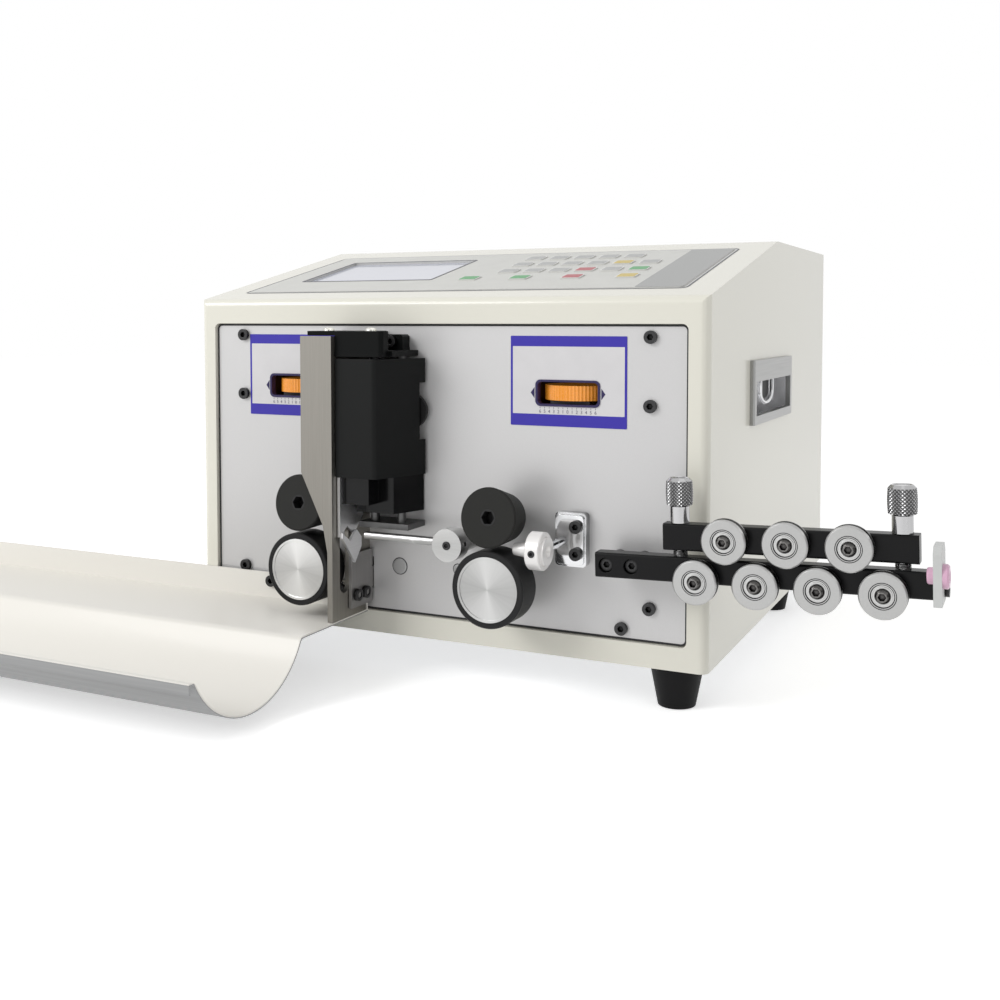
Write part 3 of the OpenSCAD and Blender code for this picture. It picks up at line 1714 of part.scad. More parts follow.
module power_inlet() {
  rim = 4;
  depth = 26;
  switch_z = inlet_socket_z + 11;
  plug_z = inlet_socket_z - 13;
  color([0.08, 0.08, 0.08])
    difference() {
      union() {
        along_y(back_y, 2)
          translate([inlet_socket_x, inlet_socket_z])
            round_rect(socket_w + 2 * rim, socket_h + 2 * rim, 3);
        along_y(back_y - depth, depth + eps)
          translate([inlet_socket_x, inlet_socket_z])
            square([socket_w - 2 * sheet_gap, socket_h - 2 * sheet_gap], center = true);
      }
      // Socket of the appliance inlet
      along_y(back_y - 16, 20)
        translate([inlet_socket_x, plug_z])
          round_rect(24, 16.5, 3);
      // Well of the rocker
      along_y(back_y - 24, 28)
        translate([inlet_socket_x, switch_z])
          square([switch_w + 1, switch_h + 1], center = true);
    }
}

switch_w = 13;
switch_h = 24;
switch_pivot_y = back_y - 10;
switch_pivot_z = inlet_socket_z + 11;

module power_switch() {
  rocker_r = switch_h / 2;
  face = rocker_r - 3.5;
  face_tilt = 9;
  color([0.7, 0.08, 0.06])
    translate([inlet_socket_x - switch_w / 2, switch_pivot_y, switch_pivot_z])
      difference() {
        rod_along_x(rocker_r, switch_w);
        rotate([face_tilt, 0, 0])
          span([-1, face, -switch_h], [switch_w + 1, switch_h, switch_h]);
      }
}

module power_supply() {
  x0 = -side_x + 30;
  y1 = back_y - 45;
  z0 = base_z + wall;
  slot_pitch = 8;
  color([0.7, 0.71, 0.72])
    difference() {
      span([x0, y1 - supply_l, z0], [x0 + supply_w, y1, z0 + supply_h]);
      // Terminal shelf
      span(
        [x0 - 1, y1 - supply_l - 1, z0 + supply_h / 2],
        [x0 + supply_w + 1, y1 - supply_l + 16, z0 + supply_h + 1]
      );
      for (i = [0:9])
        span(
          [x0 + 14, y1 - 25 - i * slot_pitch, z0 + supply_h - 1.5],
          [x0 + supply_w - 14, y1 - 22 - i * slot_pitch, z0 + supply_h + 1]
        );
    }
}

module control_board() {
  x0 = side_x - 60 - board_w;
  y0 = back_y - 30 - board_l;
  post_h = 10;
  z0 = base_z + wall;
  board_t = 1.6;
  top = z0 + post_h + board_t;
  color([0.1, 0.35, 0.2])
    union() {
      span([x0, y0, z0 + post_h], [x0 + board_w, y0 + board_l, top]);
      for (px = [x0 + 6, x0 + board_w - 6], py = [y0 + 6, y0 + board_l - 6])
        translate([px, py, z0])
          cylinder(r = 3, h = post_h + eps);
      // Heat sinks of the motor drivers
      for (i = [0:3])
        for (f = [0:4])
          span(
            [x0 + 12 + i * 24 + f * 3.4, y0 + 20, top - eps],
            [x0 + 13.4 + i * 24 + f * 3.4, y0 + 48, top + 16]
          );
      // Connectors and capacitors
      span([x0 + 10, y0 + 4, top - eps], [x0 + board_w - 10, y0 + 12, top + 9]);
      for (i = [0:2])
        translate([x0 + 24 + i * 22, y0 + board_l - 30, top - eps])
          cylinder(r = 8, h = 25);
      span([x0 + 30, y0 + 70, top - eps], [x0 + 58, y0 + 98, top + 3]);
    }
}

cabinet_shell();
base_pan();
rear_panel();
front_panel();
control_plate();
display_module();
key_film();
rubber_feet();
pull_handles();
collecting_tray();
side_plate();
cutter_head();
rod_guide();
inlet_block();
inlet_guide();
lower_bar();
end_plate();
wire_eyelet();
lower_axle_screws();
socket_screws();
stepping_motors();
drive_bearings();
press_brackets();
cutter_frame();
swing_motor();
power_supply();
control_board();
power_inlet();
drive_wheel(right_roller_x);  // right_drive_wheel
drive_tyre(right_roller_x);  // right_drive_tyre
press_roller(right_roller_x);  // right_press_roller
press_arm(right_roller_x, right_gap_x);  // right_press_arm
gap_wheel(right_gap_x);  // right_gap_wheel
drive_wheel(left_roller_x);  // left_drive_wheel
drive_tyre(left_roller_x);  // left_drive_tyre
press_roller(left_roller_x);  // left_press_roller
press_arm(left_roller_x, left_gap_x);  // left_press_arm
gap_wheel(left_gap_x);  // left_gap_wheel
upper_blade_holder();
upper_blade();
lower_blade_holder();
lower_blade();
lead_screw();
blade_cover();
cover_knob();
conduit_arm();
upper_bar();
upper_axle_screws();
straight_roller(lower_u(0), -straight_offset);  // lower_straight_roller_1
straight_roller(lower_u(1), -straight_offset);  // lower_straight_roller_2
straight_roller(lower_u(2), -straight_offset);  // lower_straight_roller_3
straight_roller(lower_u(3), -straight_offset);  // lower_straight_roller_4
straight_roller(upper_u(0), straight_offset);  // upper_straight_roller_1
straight_roller(upper_u(1), straight_offset);  // upper_straight_roller_2
straight_roller(upper_u(2), straight_offset);  // upper_straight_roller_3
thumb_screw(thumb_u[0]);  // inner_thumb_screw
thumb_screw(thumb_u[1]);  // outer_thumb_screw
bar_spring(thumb_u[0]);  // inner_spring
bar_spring(thumb_u[1]);  // outer_spring
power_switch();
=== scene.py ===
import math

import bmesh
import bpy
from mathutils import Matrix, Vector


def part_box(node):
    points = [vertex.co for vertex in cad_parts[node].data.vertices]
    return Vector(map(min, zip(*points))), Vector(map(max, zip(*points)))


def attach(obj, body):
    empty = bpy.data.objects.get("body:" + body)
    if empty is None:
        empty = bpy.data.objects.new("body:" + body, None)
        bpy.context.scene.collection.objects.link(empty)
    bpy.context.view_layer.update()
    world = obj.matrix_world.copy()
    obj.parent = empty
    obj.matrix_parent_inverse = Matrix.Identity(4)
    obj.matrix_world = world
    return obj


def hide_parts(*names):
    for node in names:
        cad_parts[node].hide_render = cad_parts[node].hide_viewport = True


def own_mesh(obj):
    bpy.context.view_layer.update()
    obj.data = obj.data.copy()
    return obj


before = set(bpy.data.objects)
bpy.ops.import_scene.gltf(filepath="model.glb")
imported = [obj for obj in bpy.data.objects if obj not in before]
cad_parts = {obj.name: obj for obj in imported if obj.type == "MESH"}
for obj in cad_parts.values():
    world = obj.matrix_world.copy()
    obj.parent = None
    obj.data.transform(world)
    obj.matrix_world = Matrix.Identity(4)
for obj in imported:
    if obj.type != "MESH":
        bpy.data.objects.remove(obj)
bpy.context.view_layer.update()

MM = 0.001

# Places on the machine, in millimetres, in the shared frame


def middle(node, axis):
    """Middle of a node's box along an axis."""
    low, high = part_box(node)
    return (low[axis] + high[axis]) / 2 / MM


def lowest(node, axis):
    """Lower end of a node's box along an axis."""
    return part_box(node)[0][axis] / MM


def highest(node, axis):
    """Upper end of a node's box along an axis."""
    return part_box(node)[1][axis] / MM


NIP_GAP = 2.0
PANEL_Y = lowest("front_panel", 1)
FRONT_Y = lowest("cabinet_shell", 1)
WIRE_Y = middle("right_drive_tyre", 1)
WIRE_Z = highest("right_drive_tyre", 2) + NIP_GAP / 2
FRONT_TOP, RIDGE_RISE, RIDGE_BACK = 268.0, 46.0, 197.0
SLOPE = math.atan2(RIDGE_RISE, RIDGE_BACK)
STRAIGHTENER_TILT = math.radians(1.6)
STRAIGHTENER_X = 104.0
GAP_WINDOWS = {"right": middle("right_gap_wheel", 0), "left": middle("left_gap_wheel", 0)}
GAP_WINDOW_Z = 204.3
TROUGH_Y, TROUGH_Z, TROUGH_R, TRAY_T = FRONT_Y - 136.2, 68.3, 58.0, 1.5
LEDGE_Z = 44.0
HANDLE_FACE = 200.0
HANDLE_RIM, SCOOP_EDGE = 6.2, 0.4
HANDLE_MID_Y = middle("pull_handles", 1)
SCOOP_LOW = lowest("pull_handles", 2) + HANDLE_RIM


def slope_frame():
    """Local frame of the sloped top: y along the slope, z out of it."""
    place = Matrix.Translation((0, FRONT_Y * MM, FRONT_TOP * MM))
    return place @ Matrix.Rotation(SLOPE, 4, "X")


def straightener_frame():
    """Local frame of the straightener: x along the wire, z up from it."""
    place = Matrix.Translation((STRAIGHTENER_X * MM, WIRE_Y * MM, WIRE_Z * MM))
    return place @ Matrix.Rotation(-STRAIGHTENER_TILT, 4, "Y")


def facing_front(x, y, z):
    """Local frame at a point: x right, y up, z out to the front."""
    place = Matrix.Translation((x * MM, y * MM, z * MM))
    return place @ Matrix.Rotation(math.pi / 2, 4, "X")


def facing_right(x, y, z):
    """Local frame at a point: x down, y to the back, z out to the right."""
    place = Matrix.Translation((x * MM, y * MM, z * MM))
    return place @ Matrix.Rotation(math.pi / 2, 4, "Y")


def panel_frame(x, z, proud=0.0):
    """Local frame on the front panel: x right, y up, z out of the panel."""
    return facing_front(x, PANEL_Y - proud, z)


# Finishes


class Link:
    """A socket in a finish. Arithmetic on it adds Math nodes."""

    def __init__(self, finish, socket):
        self.finish = finish
        self.socket = socket

    def math(self, operation, *values):
        settings = {"operation": operation}
        return self.finish.node("ShaderNodeMath", settings, dict(enumerate(values)))

    def __add__(self, other):
        return self.math("ADD", self, other)

    def __radd__(self, other):
        return self.math("ADD", other, self)

    def __sub__(self, other):
        return self.math("SUBTRACT", self, other)

    def __rsub__(self, other):
        return self.math("SUBTRACT", other, self)

    def __mul__(self, other):
        return self.math("MULTIPLY", self, other)

    def __rmul__(self, other):
        return self.math("MULTIPLY", other, self)

    def __pow__(self, other):
        return self.math("POWER", self, other)

    def __gt__(self, other):
        return self.math("GREATER_THAN", self, other)

    def __lt__(self, other):
        return self.math("LESS_THAN", self, other)

    def sine(self):
        """Sine of the value in radians."""
        return self.math("SINE", self)

    def away(self, other):
        """Distance from a value, without its sign."""
        return self.math("ABSOLUTE", self - other)


EVEN = (1.0, 1.0, 1.0)
MIX_FACTOR, MIX_FROM, MIX_TO, MIX_RESULT = 0, 6, 7, 2  # sockets of a Mix node for colours
BEVEL_SAMPLES, SHELTER_SAMPLES = 4, 6


class Finish:
    """A material with one Principled shader. Constants go straight onto the shader's sockets."""

    def __init__(self, name, colour, **constants):
        self.material = bpy.data.materials.new(name)
        self.material.use_nodes = True
        self.tree = self.material.node_tree
        self.shader = self.tree.nodes["Principled BSDF"]
        self.colour = colour
        self.set("Base Color", (*colour, 1.0))
        for socket, value in constants.items():
            self.set(socket.replace("_", " "), value)

    def set(self, socket, value):
        """Sets a socket of the shader, or links a value to it."""
        target = self.shader.inputs[socket]
        if isinstance(value, Link):
            self.tree.links.new(value.socket, target)
        else:
            target.default_value = value

    def node(self, kind, settings=None, sockets=None, out=0):
        """Adds a node, its settings first, and returns one of its outputs."""
        made = self.tree.nodes.new(kind)
        for key, value in (settings or {}).items():
            setattr(made, key, value)
        for key, value in (sockets or {}).items():
            if isinstance(value, Link):
                self.tree.links.new(value.socket, made.inputs[key])
            else:
                made.inputs[key].default_value = value
        return Link(self, made.outputs[out])

    def place(self, stretch=EVEN, kind="Object"):
        """Coordinates on the piece, stretched along its axes."""
        coordinates = self.node("ShaderNodeTexCoord", out=kind)
        if stretch == EVEN:
            return coordinates
        settings = {"operation": "MULTIPLY"}
        return self.node("ShaderNodeVectorMath", settings, {0: coordinates, 1: stretch})

    def noise(self, scale, stretch=EVEN, detail=2.0, rough=0.5):
        """Noise over the piece, from 0 to 1."""
        place = self.place(stretch)
        sockets = {"Vector": place, "Scale": scale, "Detail": detail, "Roughness": rough}
        return self.node("ShaderNodeTexNoise", None, sockets)

    def split(self, vector):
        """The three values of a vector."""
        outputs = self.node("ShaderNodeSeparateXYZ", None, {0: vector}).socket.node.outputs
        return [Link(self, outputs[i]) for i in range(3)]

    def axes(self, kind="Object"):
        """The three coordinates of the piece as separate values."""
        return self.split(self.place(kind=kind))

    def radius(self):
        """Distance from the middle line of the piece's box along y, as a share of the box."""
        x, _, z = self.axes("Generated")
        dx, dz = x - 0.5, z - 0.5
        return dx, dz, (dx * dx + dz * dz) ** 0.5

    def tint(self, mask, other, base=None):
        """Mixes the finish's colour towards another by a mask, and returns the mix."""
        mixed = self.node("ShaderNodeMix", {"data_type": "RGBA"}).socket.node
        inputs = ((MIX_FACTOR, mask), (MIX_FROM, base or self.colour), (MIX_TO, other))
        for index, value in inputs:
            if isinstance(value, Link):
                self.tree.links.new(value.socket, mixed.inputs[index])
            else:
                mixed.inputs[index].default_value = (*value, 1.0)
        return Link(self, mixed.outputs[MIX_RESULT])

    def bump(self, height, strength, depth, edge=0.0):
        """Relief from a height. edge rounds the look of sharp edges, by a radius in millimetres."""
        sockets = {"Height": height, "Strength": strength, "Distance": depth}
        if edge:
            settings = {"samples": BEVEL_SAMPLES}
            sockets["Normal"] = self.node("ShaderNodeBevel", settings, {"Radius": edge * MM})
        self.set("Normal", self.node("ShaderNodeBump", None, sockets))


PEEL_DEPTH, STROKE_DEPTH, GRAIN_DEPTH, FINE_DEPTH = 0.0002, 0.0002, 0.00008, 0.0001
STROKE_LENGTH = 0.02  # stretch of the noise along brush strokes
RING_DARK = (0.02, 0.02, 0.022)


def shade(colour, factor):
    """A colour made lighter or darker by a factor."""
    return tuple(min(1.0, c * factor) for c in colour)


def paint(name, colour, rough=0.24, peel=0.012):
    """Sprayed gloss paint with a fine orange peel."""
    f = Finish(name, colour, Specular_IOR_Level=0.4, Coat_Roughness=0.1)
    f.set("Coat Weight", 0.25)
    f.set("Base Color", f.tint(f.noise(3.0), shade(colour, 0.985)))
    f.set("Roughness", rough + 0.04 * f.noise(9.0))
    f.bump(f.noise(420.0, detail=1.0), peel, PEEL_DEPTH)
    return f


def tray_sheet(name, colour, outside):
    """Gloss paint inside the tray, bare zinc with streaks along the sheet on its under side."""
    f = paint(name, colour, rough=0.36, peel=0.01)
    _, y, z = f.axes()
    dy, dz = y - TROUGH_Y * MM, z - TROUGH_Z * MM
    beyond = (dy * dy + dz * dz) ** 0.5 > (TROUGH_R + TRAY_T / 2) * MM
    normal = f.split(f.node("ShaderNodeNewGeometry", out="Normal"))
    under = beyond * (z < (LEDGE_Z - TRAY_T / 2) * MM) * (normal[2] < 0.2)
    streaks = f.noise(420.0, (0.015, 1.0, 1.0), detail=3.0, rough=0.7)
    zinc_tone = f.tint(streaks, shade(outside, 0.8), shade(outside, 1.12))
    f.set("Base Color", f.tint(under, zinc_tone))
    f.set("Metallic", under * 0.7)
    f.set("Coat Weight", 0.06 - 0.06 * under)
    f.set("Roughness", 0.4 + under * (0.2 * streaks - 0.1))
    return f


def brushed(name, colour, along, rough=0.3, fine=900.0, edge=0.3):
    """Brushed metal. along is the axis, 0 to 2, that the strokes run along."""
    f = Finish(name, colour, Metallic=1.0)
    stretch = tuple(STROKE_LENGTH if i == along else 1.0 for i in range(3))
    strokes = f.noise(fine, stretch, detail=3.0, rough=0.7)
    f.set("Base Color", f.tint(strokes, shade(colour, 0.88), shade(colour, 1.06)))
    f.set("Roughness", rough + 0.16 * strokes - 0.06 * f.noise(18.0))
    f.bump(strokes, 0.06, STROKE_DEPTH, edge)
    return f


def plastic(name, colour, rough=0.45, grain=1400.0, strength=0.2, coat=0.0, gloss=0.35,
            edge=0.25):
    """Moulded plastic, rubber or black plating with a fine grain."""
    f = Finish(name, colour, Specular_IOR_Level=gloss)
    f.set("Coat Weight", coat)
    speck = f.noise(grain, detail=2.0)
    f.set("Base Color", f.tint(f.noise(60.0, detail=3.0), shade(colour, 0.88)))
    f.set("Roughness", rough + 0.12 * speck)
    f.bump(speck, strength, GRAIN_DEPTH, edge)
    return f


def lacquered_silver(name, colour):
    """Silver lacquer: fine metallic flakes and a faint slow drift of tone."""
    f = Finish(name, colour, Metallic=0.35, Specular_IOR_Level=0.4)
    flake = f.noise(2600.0, detail=0.0)
    drift = f.noise(5.0, detail=2.0)
    speckled = f.tint(flake, shade(colour, 0.93), shade(colour, 1.04))
    f.set("Base Color", f.tint(drift * 0.5, shade(colour, 0.95), speckled))
    f.set("Roughness", 0.34 + 0.1 * flake)
    f.bump(f.noise(1300.0, detail=1.0), 0.05, PEEL_DEPTH)
    return f


def turned_face(name, colour):
    """Face turned on a lathe about y: fine rings, and light and dark sectors round the axis that are
    painted highlights and painted shade of the turning.
    """
    f = Finish(name, colour, Metallic=1.0)
    dx, dz, radius = f.radius()
    turn = f.node("ShaderNodeMath", {"operation": "ARCTAN2"}, {0: dz, 1: dx})
    wide_sheen = (turn * 2.0 - 1.3).sine() * 0.5 + 0.5
    narrow_glint = ((turn * 2.0 - 1.75).sine() * 0.5 + 0.5) ** 14.0
    fine_sheen = (turn * 9.0).sine() * (turn * 23.0).sine() * 0.5 + 0.5
    # Painted highlights and shade: the turning's radial sheen is laid into the colour as light and
    # dark sectors.
    sheen_sectors = f.tint(wide_sheen, shade(colour, 1.14), shade(colour, 0.84))
    f.set("Base Color", f.tint(narrow_glint * 0.6 + fine_sheen * 0.12, shade(colour, 1.3), sheen_sectors))
    f.set("Roughness", 0.26 + 0.08 * f.noise(700.0))
    f.bump((radius * 460.0).sine(), 0.12, FINE_DEPTH, edge=0.25)
    return f


ROLLER_D, GROOVE_R = 27.2, 12.5
BEARING_BORE_R, INNER_RING_R, OUTER_RING_R = 6.3, 6.55, 7.6


def bearing_face(name, colour):
    """Grooved roller about y: satin faces, two thin dark rings round the bearing, and painted shade
    in the groove.
    """
    f = Finish(name, colour, Metallic=1.0)
    _, _, radius = f.radius()
    across = f.axes("Generated")[1]
    size = radius * ROLLER_D
    inner_ring = size.away(INNER_RING_R) < 0.28
    outer_ring = size.away(OUTER_RING_R) < 0.24
    rings = inner_ring + outer_ring
    groove = (size > GROOVE_R) * (across.away(0.5) < 0.3)
    inner = size < BEARING_BORE_R
    satin = f.tint(f.noise(900.0, detail=1.0), shade(colour, 0.93), shade(colour, 1.04))
    bearing = f.tint(inner, shade(colour, 1.25), satin)
    # Painted shade: the groove between the flanges is darkened where shade falls.
    groove_shade = f.tint(groove, shade(colour, 0.16), bearing)
    f.set("Base Color", f.tint(rings, RING_DARK, groove_shade))
    f.set("Roughness", 0.3 + 0.08 * f.noise(420.0) + 0.2 * rings - 0.12 * groove)
    f.bump((size * 19.0).sine(), 0.05, FINE_DEPTH, edge=0.35)
    return f


def polished(name, colour, rough=0.05, edge=0.3):
    """Polished plating with faint swirl marks."""
    f = Finish(name, colour, Metallic=1.0)
    f.set("Roughness", rough + 0.05 * f.noise(40.0, detail=4.0))
    f.set("Base Color", f.tint(f.noise(25.0), shade(colour, 0.95)))
    f.bump(f.noise(1100.0), 0.012, FINE_DEPTH, edge)
    return f


def sheltered(f, reach):
    """Mask of corners and recesses, within a reach in millimetres, where painted shade goes."""
    settings = {"samples": SHELTER_SAMPLES}
    sockets = {"Distance": reach * MM}
    open_share = f.node("ShaderNodeAmbientOcclusion", settings, sockets, out="AO")
    return (1.0 - open_share) * 2.0


def oxide_socket(name, colour, rough=0.3):
    """Blackened steel of a socket screw: dull metal, with painted shade making it almost black inside
    the socket.
    """
    f = Finish(name, colour, Metallic=1.0)
    grain = f.noise(2000.0)
    lit = f.tint(grain, shade(colour, 0.8), shade(colour, 1.15))
    # Painted shade: corners and the socket are darkened by an occlusion mask.
    f.set("Base Color", f.tint(sheltered(f, 2.5), shade(colour, 0.06), lit))
    f.set("Roughness", rough + 0.1 * grain)
    f.bump(grain, 0.06, FINE_DEPTH, edge=0.6)
    return f


def mirror_block(name, colour):
    """Bright plating with painted reflections of the dark rollers beside it, as soft dark patches."""
    f = polished(name, colour, rough=0.06, edge=0.6)
    painted_reflections = f.noise(46.0, (1.0, 1.0, 0.7), detail=1.0, rough=0.4) * 5.0 - 2.4
    # Painted reflection: soft dark patches laid into the colour.
    f.set("Base Color", f.tint(painted_reflections, shade(colour, 0.12)))
    return f


def scoop_plating(name, colour, inside):
    """Brushed plating of a flush handle, polished brighter inside its scoop."""
    f = Finish(name, colour, Metallic=1.0)
    side = f.axes()[0].away(0.0)
    scoop = side < (HANDLE_FACE - SCOOP_EDGE) * MM
    strokes = f.noise(900.0, (1.0, STROKE_LENGTH, 1.0), detail=3.0)
    face = f.tint(strokes, shade(colour, 0.9), shade(colour, 1.06))
    f.set("Base Color", f.tint(scoop, inside, face))
    f.set("Roughness", 0.3 - 0.1 * scoop + 0.06 * strokes)
    f.bump(strokes, 0.03, FINE_DEPTH, edge=0.6)
    return f


def knurled(name, colour):
    """Plating over a knurl, with painted shade darkening its valleys."""
    f = polished(name, colour, rough=0.1, edge=0.0)
    valley = f.node("ShaderNodeAttribute", {"attribute_name": "valley"}, out="Fac")
    # Painted shade in the knurl's valleys.
    f.set("Base Color", f.tint(valley, shade(colour, 0.1)))
    f.set("Roughness", 0.1 + 0.3 * valley)
    return f


WHEEL_TEETH, WHEEL_RISE = 120.0, 5200.0  # knurl waves per radian and per metre


def gap_wheel_plastic(name, colour):
    """Clear orange plastic with a fine diamond knurl round its rim, its crests painted lighter and
    its valleys darker as painted highlights and shade, and a faint painted glow.
    """
    # The emission strength here is a painted glow; the wheel is no lamp.
    f = Finish(name, colour, Specular_IOR_Level=0.5, Emission_Strength=0.12)
    f.set("Coat Weight", 0.4)
    dx, dy, _ = (c - 0.5 for c in f.axes("Generated"))
    turn = f.node("ShaderNodeMath", {"operation": "ARCTAN2"}, {0: dy, 1: dx}) * WHEEL_TEETH
    rise = f.axes()[2] * WHEEL_RISE
    diamonds = (turn + rise).sine() * (turn - rise).sine() * 0.5 + 0.5
    # Painted highlights and shade on the knurl, also used as the colour of the painted glow.
    tone = f.tint(diamonds, shade(colour, 0.72), shade(colour, 1.1))
    f.set("Base Color", tone)
    f.set("Emission Color", tone)
    f.set("Roughness", 0.22 + 0.1 * f.noise(900.0))
    f.bump(diamonds, 0.35, 0.0003)
    return f


def display_face(name, colour):
    """Back-lit display: soft unevenness of the light and a faint dot grid, under clear gloss."""
    f = Finish(name, colour, Roughness=0.2)
    f.set("Coat Weight", 0.6)
    sockets = {"Vector": f.place(), "Scale": 1400.0}
    dots = f.node("ShaderNodeTexChecker", None, sockets, out=1)
    uneven = f.tint(f.noise(14.0), shade(colour, 0.86))
    f.set("Base Color", f.tint(dots * 0.25, shade(colour, 0.9), uneven))
    return f


CREAM = (0.765, 0.75, 0.665)
TRAY_CREAM = (0.79, 0.77, 0.72)
SILVER = (0.60, 0.595, 0.595)
ALUMINIUM = (0.50, 0.50, 0.495)
ROLLER_STEEL = (0.43, 0.43, 0.425)
CHROME = (0.66, 0.665, 0.675)

cream_paint = paint("cream_paint", CREAM)
rear_paint = paint("rear_cream_paint", CREAM, rough=0.28)
tray_paint = tray_sheet("tray_cream_paint", TRAY_CREAM, (0.30, 0.302, 0.303))
panel_lacquer = lacquered_silver("panel_silver_lacquer", SILVER)
plate_lacquer = lacquered_silver("control_plate_lacquer", (0.64, 0.64, 0.625))
side_steel = brushed("side_plate_brushed_steel", (0.255, 0.243, 0.22), 2, rough=0.4)
rod_steel = brushed("guide_rod_steel", (0.13, 0.13, 0.13), 2, rough=0.35)
holder_steel = brushed("lower_holder_steel", (0.30, 0.293, 0.288), 2, rough=0.4)
arm_steel = plastic("press_arm_black_oxide", (0.014, 0.014, 0.0145), rough=0.4, gloss=0.3)
blade_steel = brushed("ground_blade_steel", (0.84, 0.84, 0.85), 1, rough=0.35, edge=0.0)
thread_steel = brushed("lead_screw_steel", (0.17, 0.17, 0.17), 0, rough=0.25)
zinc = brushed("zinc_plated_sheet", (0.50, 0.51, 0.52), 0, rough=0.38)
# The two wheels are one aluminium: the right wheel's face is painted darker and the left wheel's
# lighter, as painted shade and painted light.
right_turned_shaded = turned_face("right_wheel_turned_painted_darker", shade(ALUMINIUM, 0.88))
left_turned_lit = turned_face("left_wheel_turned_painted_lighter", shade(ALUMINIUM, 1.25))
conduit_metal = turned_face("turned_conduit", (0.48, 0.48, 0.475))
satin_aluminium = brushed("satin_aluminium", ALUMINIUM, 0, rough=0.25, fine=1500.0)
bright_nickel = polished("inlet_guide_satin_nickel", (0.88, 0.865, 0.85), rough=0.3)
bright_nickel.set("Metallic", 0.2)
end_satin = plastic("end_plate_satin", (0.62, 0.63, 0.62), rough=0.35)
bearing_steel = bearing_face("bearing_roller_steel", ROLLER_STEEL)
chrome = polished("chrome_plating", CHROME)
block_chrome = mirror_block("inlet_block_chrome", CHROME)
screw_chrome = oxide_socket("axle_screw_dark_chrome", (0.17, 0.165, 0.16), rough=0.14)
thumb_chrome = knurled("thumb_screw_chrome", (0.45, 0.45, 0.455))
handle_chrome = scoop_plating("handle_chrome", (0.35, 0.35, 0.345), (0.80, 0.80, 0.81))
tyre_rubber = plastic("tyre_rubber", (0.011, 0.011, 0.0115), rough=0.4, grain=900.0, gloss=0.22)
press_rubber = plastic("press_roller_rubber", (0.014, 0.014, 0.0125), rough=0.55, grain=1100.0,
                       gloss=0.22)
foot_rubber = plastic("foot_rubber", (0.006, 0.006, 0.0065), rough=0.45, grain=700.0, gloss=0.14)
black_powder = plastic("black_powder_coat", (0.0085, 0.009, 0.009), rough=0.46, strength=0.3,
                       gloss=0.13, edge=0.5)
black_oxide = plastic("black_oxide_steel", (0.0035, 0.004, 0.004), rough=0.3, grain=1200.0,
                      gloss=0.09, edge=0.4)
bar_black = plastic("straightener_bar_black", (0.004, 0.004, 0.0045), rough=0.24, grain=1000.0,
                    gloss=0.17, edge=0.9)
holder_black = plastic("upper_holder_gloss_black", (0.004, 0.004, 0.0045), rough=0.12, coat=0.1,
                       gloss=0.15)
screw_black = oxide_socket("socket_screw_black", (0.055, 0.055, 0.056))
motor_black = plastic("motor_black", (0.02, 0.02, 0.022), rough=0.45)
socket_plastic = plastic("inlet_black_plastic", (0.008, 0.008, 0.008), rough=0.4, gloss=0.2)
orange_plastic = gap_wheel_plastic("gap_wheel_orange", (0.90, 0.33, 0.03))
pink_ceramic = plastic("eyelet_pink_ceramic", (0.76, 0.46, 0.62), rough=0.2, strength=0.04,
                       coat=0.3)
board_green = plastic("control_board_lacquer", (0.02, 0.14, 0.06), rough=0.35)
switch_red = plastic("switch_red_plastic", (0.45, 0.015, 0.012), rough=0.3, coat=0.3)
foil_grey = plastic("key_foil_grey", (0.68, 0.68, 0.65), rough=0.4, grain=1800.0)
display_glass = display_face("display_lavender", (0.50, 0.52, 0.62))

NODE_FINISH = {
    "cabinet_shell": cream_paint, "rear_panel": rear_paint, "collecting_tray": tray_paint,
    "front_panel": panel_lacquer, "control_plate": plate_lacquer, "base_pan": zinc,
    "press_brackets": motor_black, "power_supply": zinc, "display_module": display_glass,
    "key_film": foil_grey, "rubber_feet": foot_rubber, "pull_handles": handle_chrome,
    "inlet_block": block_chrome, "side_plate": side_steel, "rod_guide": rod_steel,
    "lower_blade_holder": holder_steel, "lead_screw": thread_steel,
    "right_press_arm": arm_steel, "left_press_arm": arm_steel,
    "upper_blade": blade_steel, "lower_blade": blade_steel,
    "right_drive_wheel": right_turned_shaded, "left_drive_wheel": left_turned_lit,
    "conduit_arm": conduit_metal, "inlet_guide": bright_nickel, "end_plate": end_satin,
    "drive_bearings": satin_aluminium, "cutter_frame": satin_aluminium,
    "cutter_head": black_oxide, "upper_blade_holder": holder_black, "blade_cover": black_powder,
    "lower_bar": bar_black, "upper_bar": bar_black,
    "stepping_motors": motor_black, "swing_motor": motor_black, "socket_screws": screw_black,
    "lower_axle_screws": screw_chrome, "upper_axle_screws": screw_chrome,
    "cover_knob": socket_plastic, "power_inlet": socket_plastic,
    "right_gap_wheel": orange_plastic, "left_gap_wheel": orange_plastic,
    "wire_eyelet": pink_ceramic, "control_board": board_green, "power_switch": switch_red,
    "right_drive_tyre": tyre_rubber, "left_drive_tyre": tyre_rubber,
    "right_press_roller": press_rubber, "left_press_roller": press_rubber,
    "inner_thumb_screw": chrome, "outer_thumb_screw": chrome,
    "inner_spring": thread_steel, "outer_spring": thread_steel,
}
for node_name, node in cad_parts.items():
    finish = NODE_FINISH.get(node_name, bearing_steel)
    node.data.materials.clear()
    node.data.materials.append(finish.material)


# Pieces added to the solids

SHARP_ANGLE = math.radians(35)
CORNER_STEPS = 6


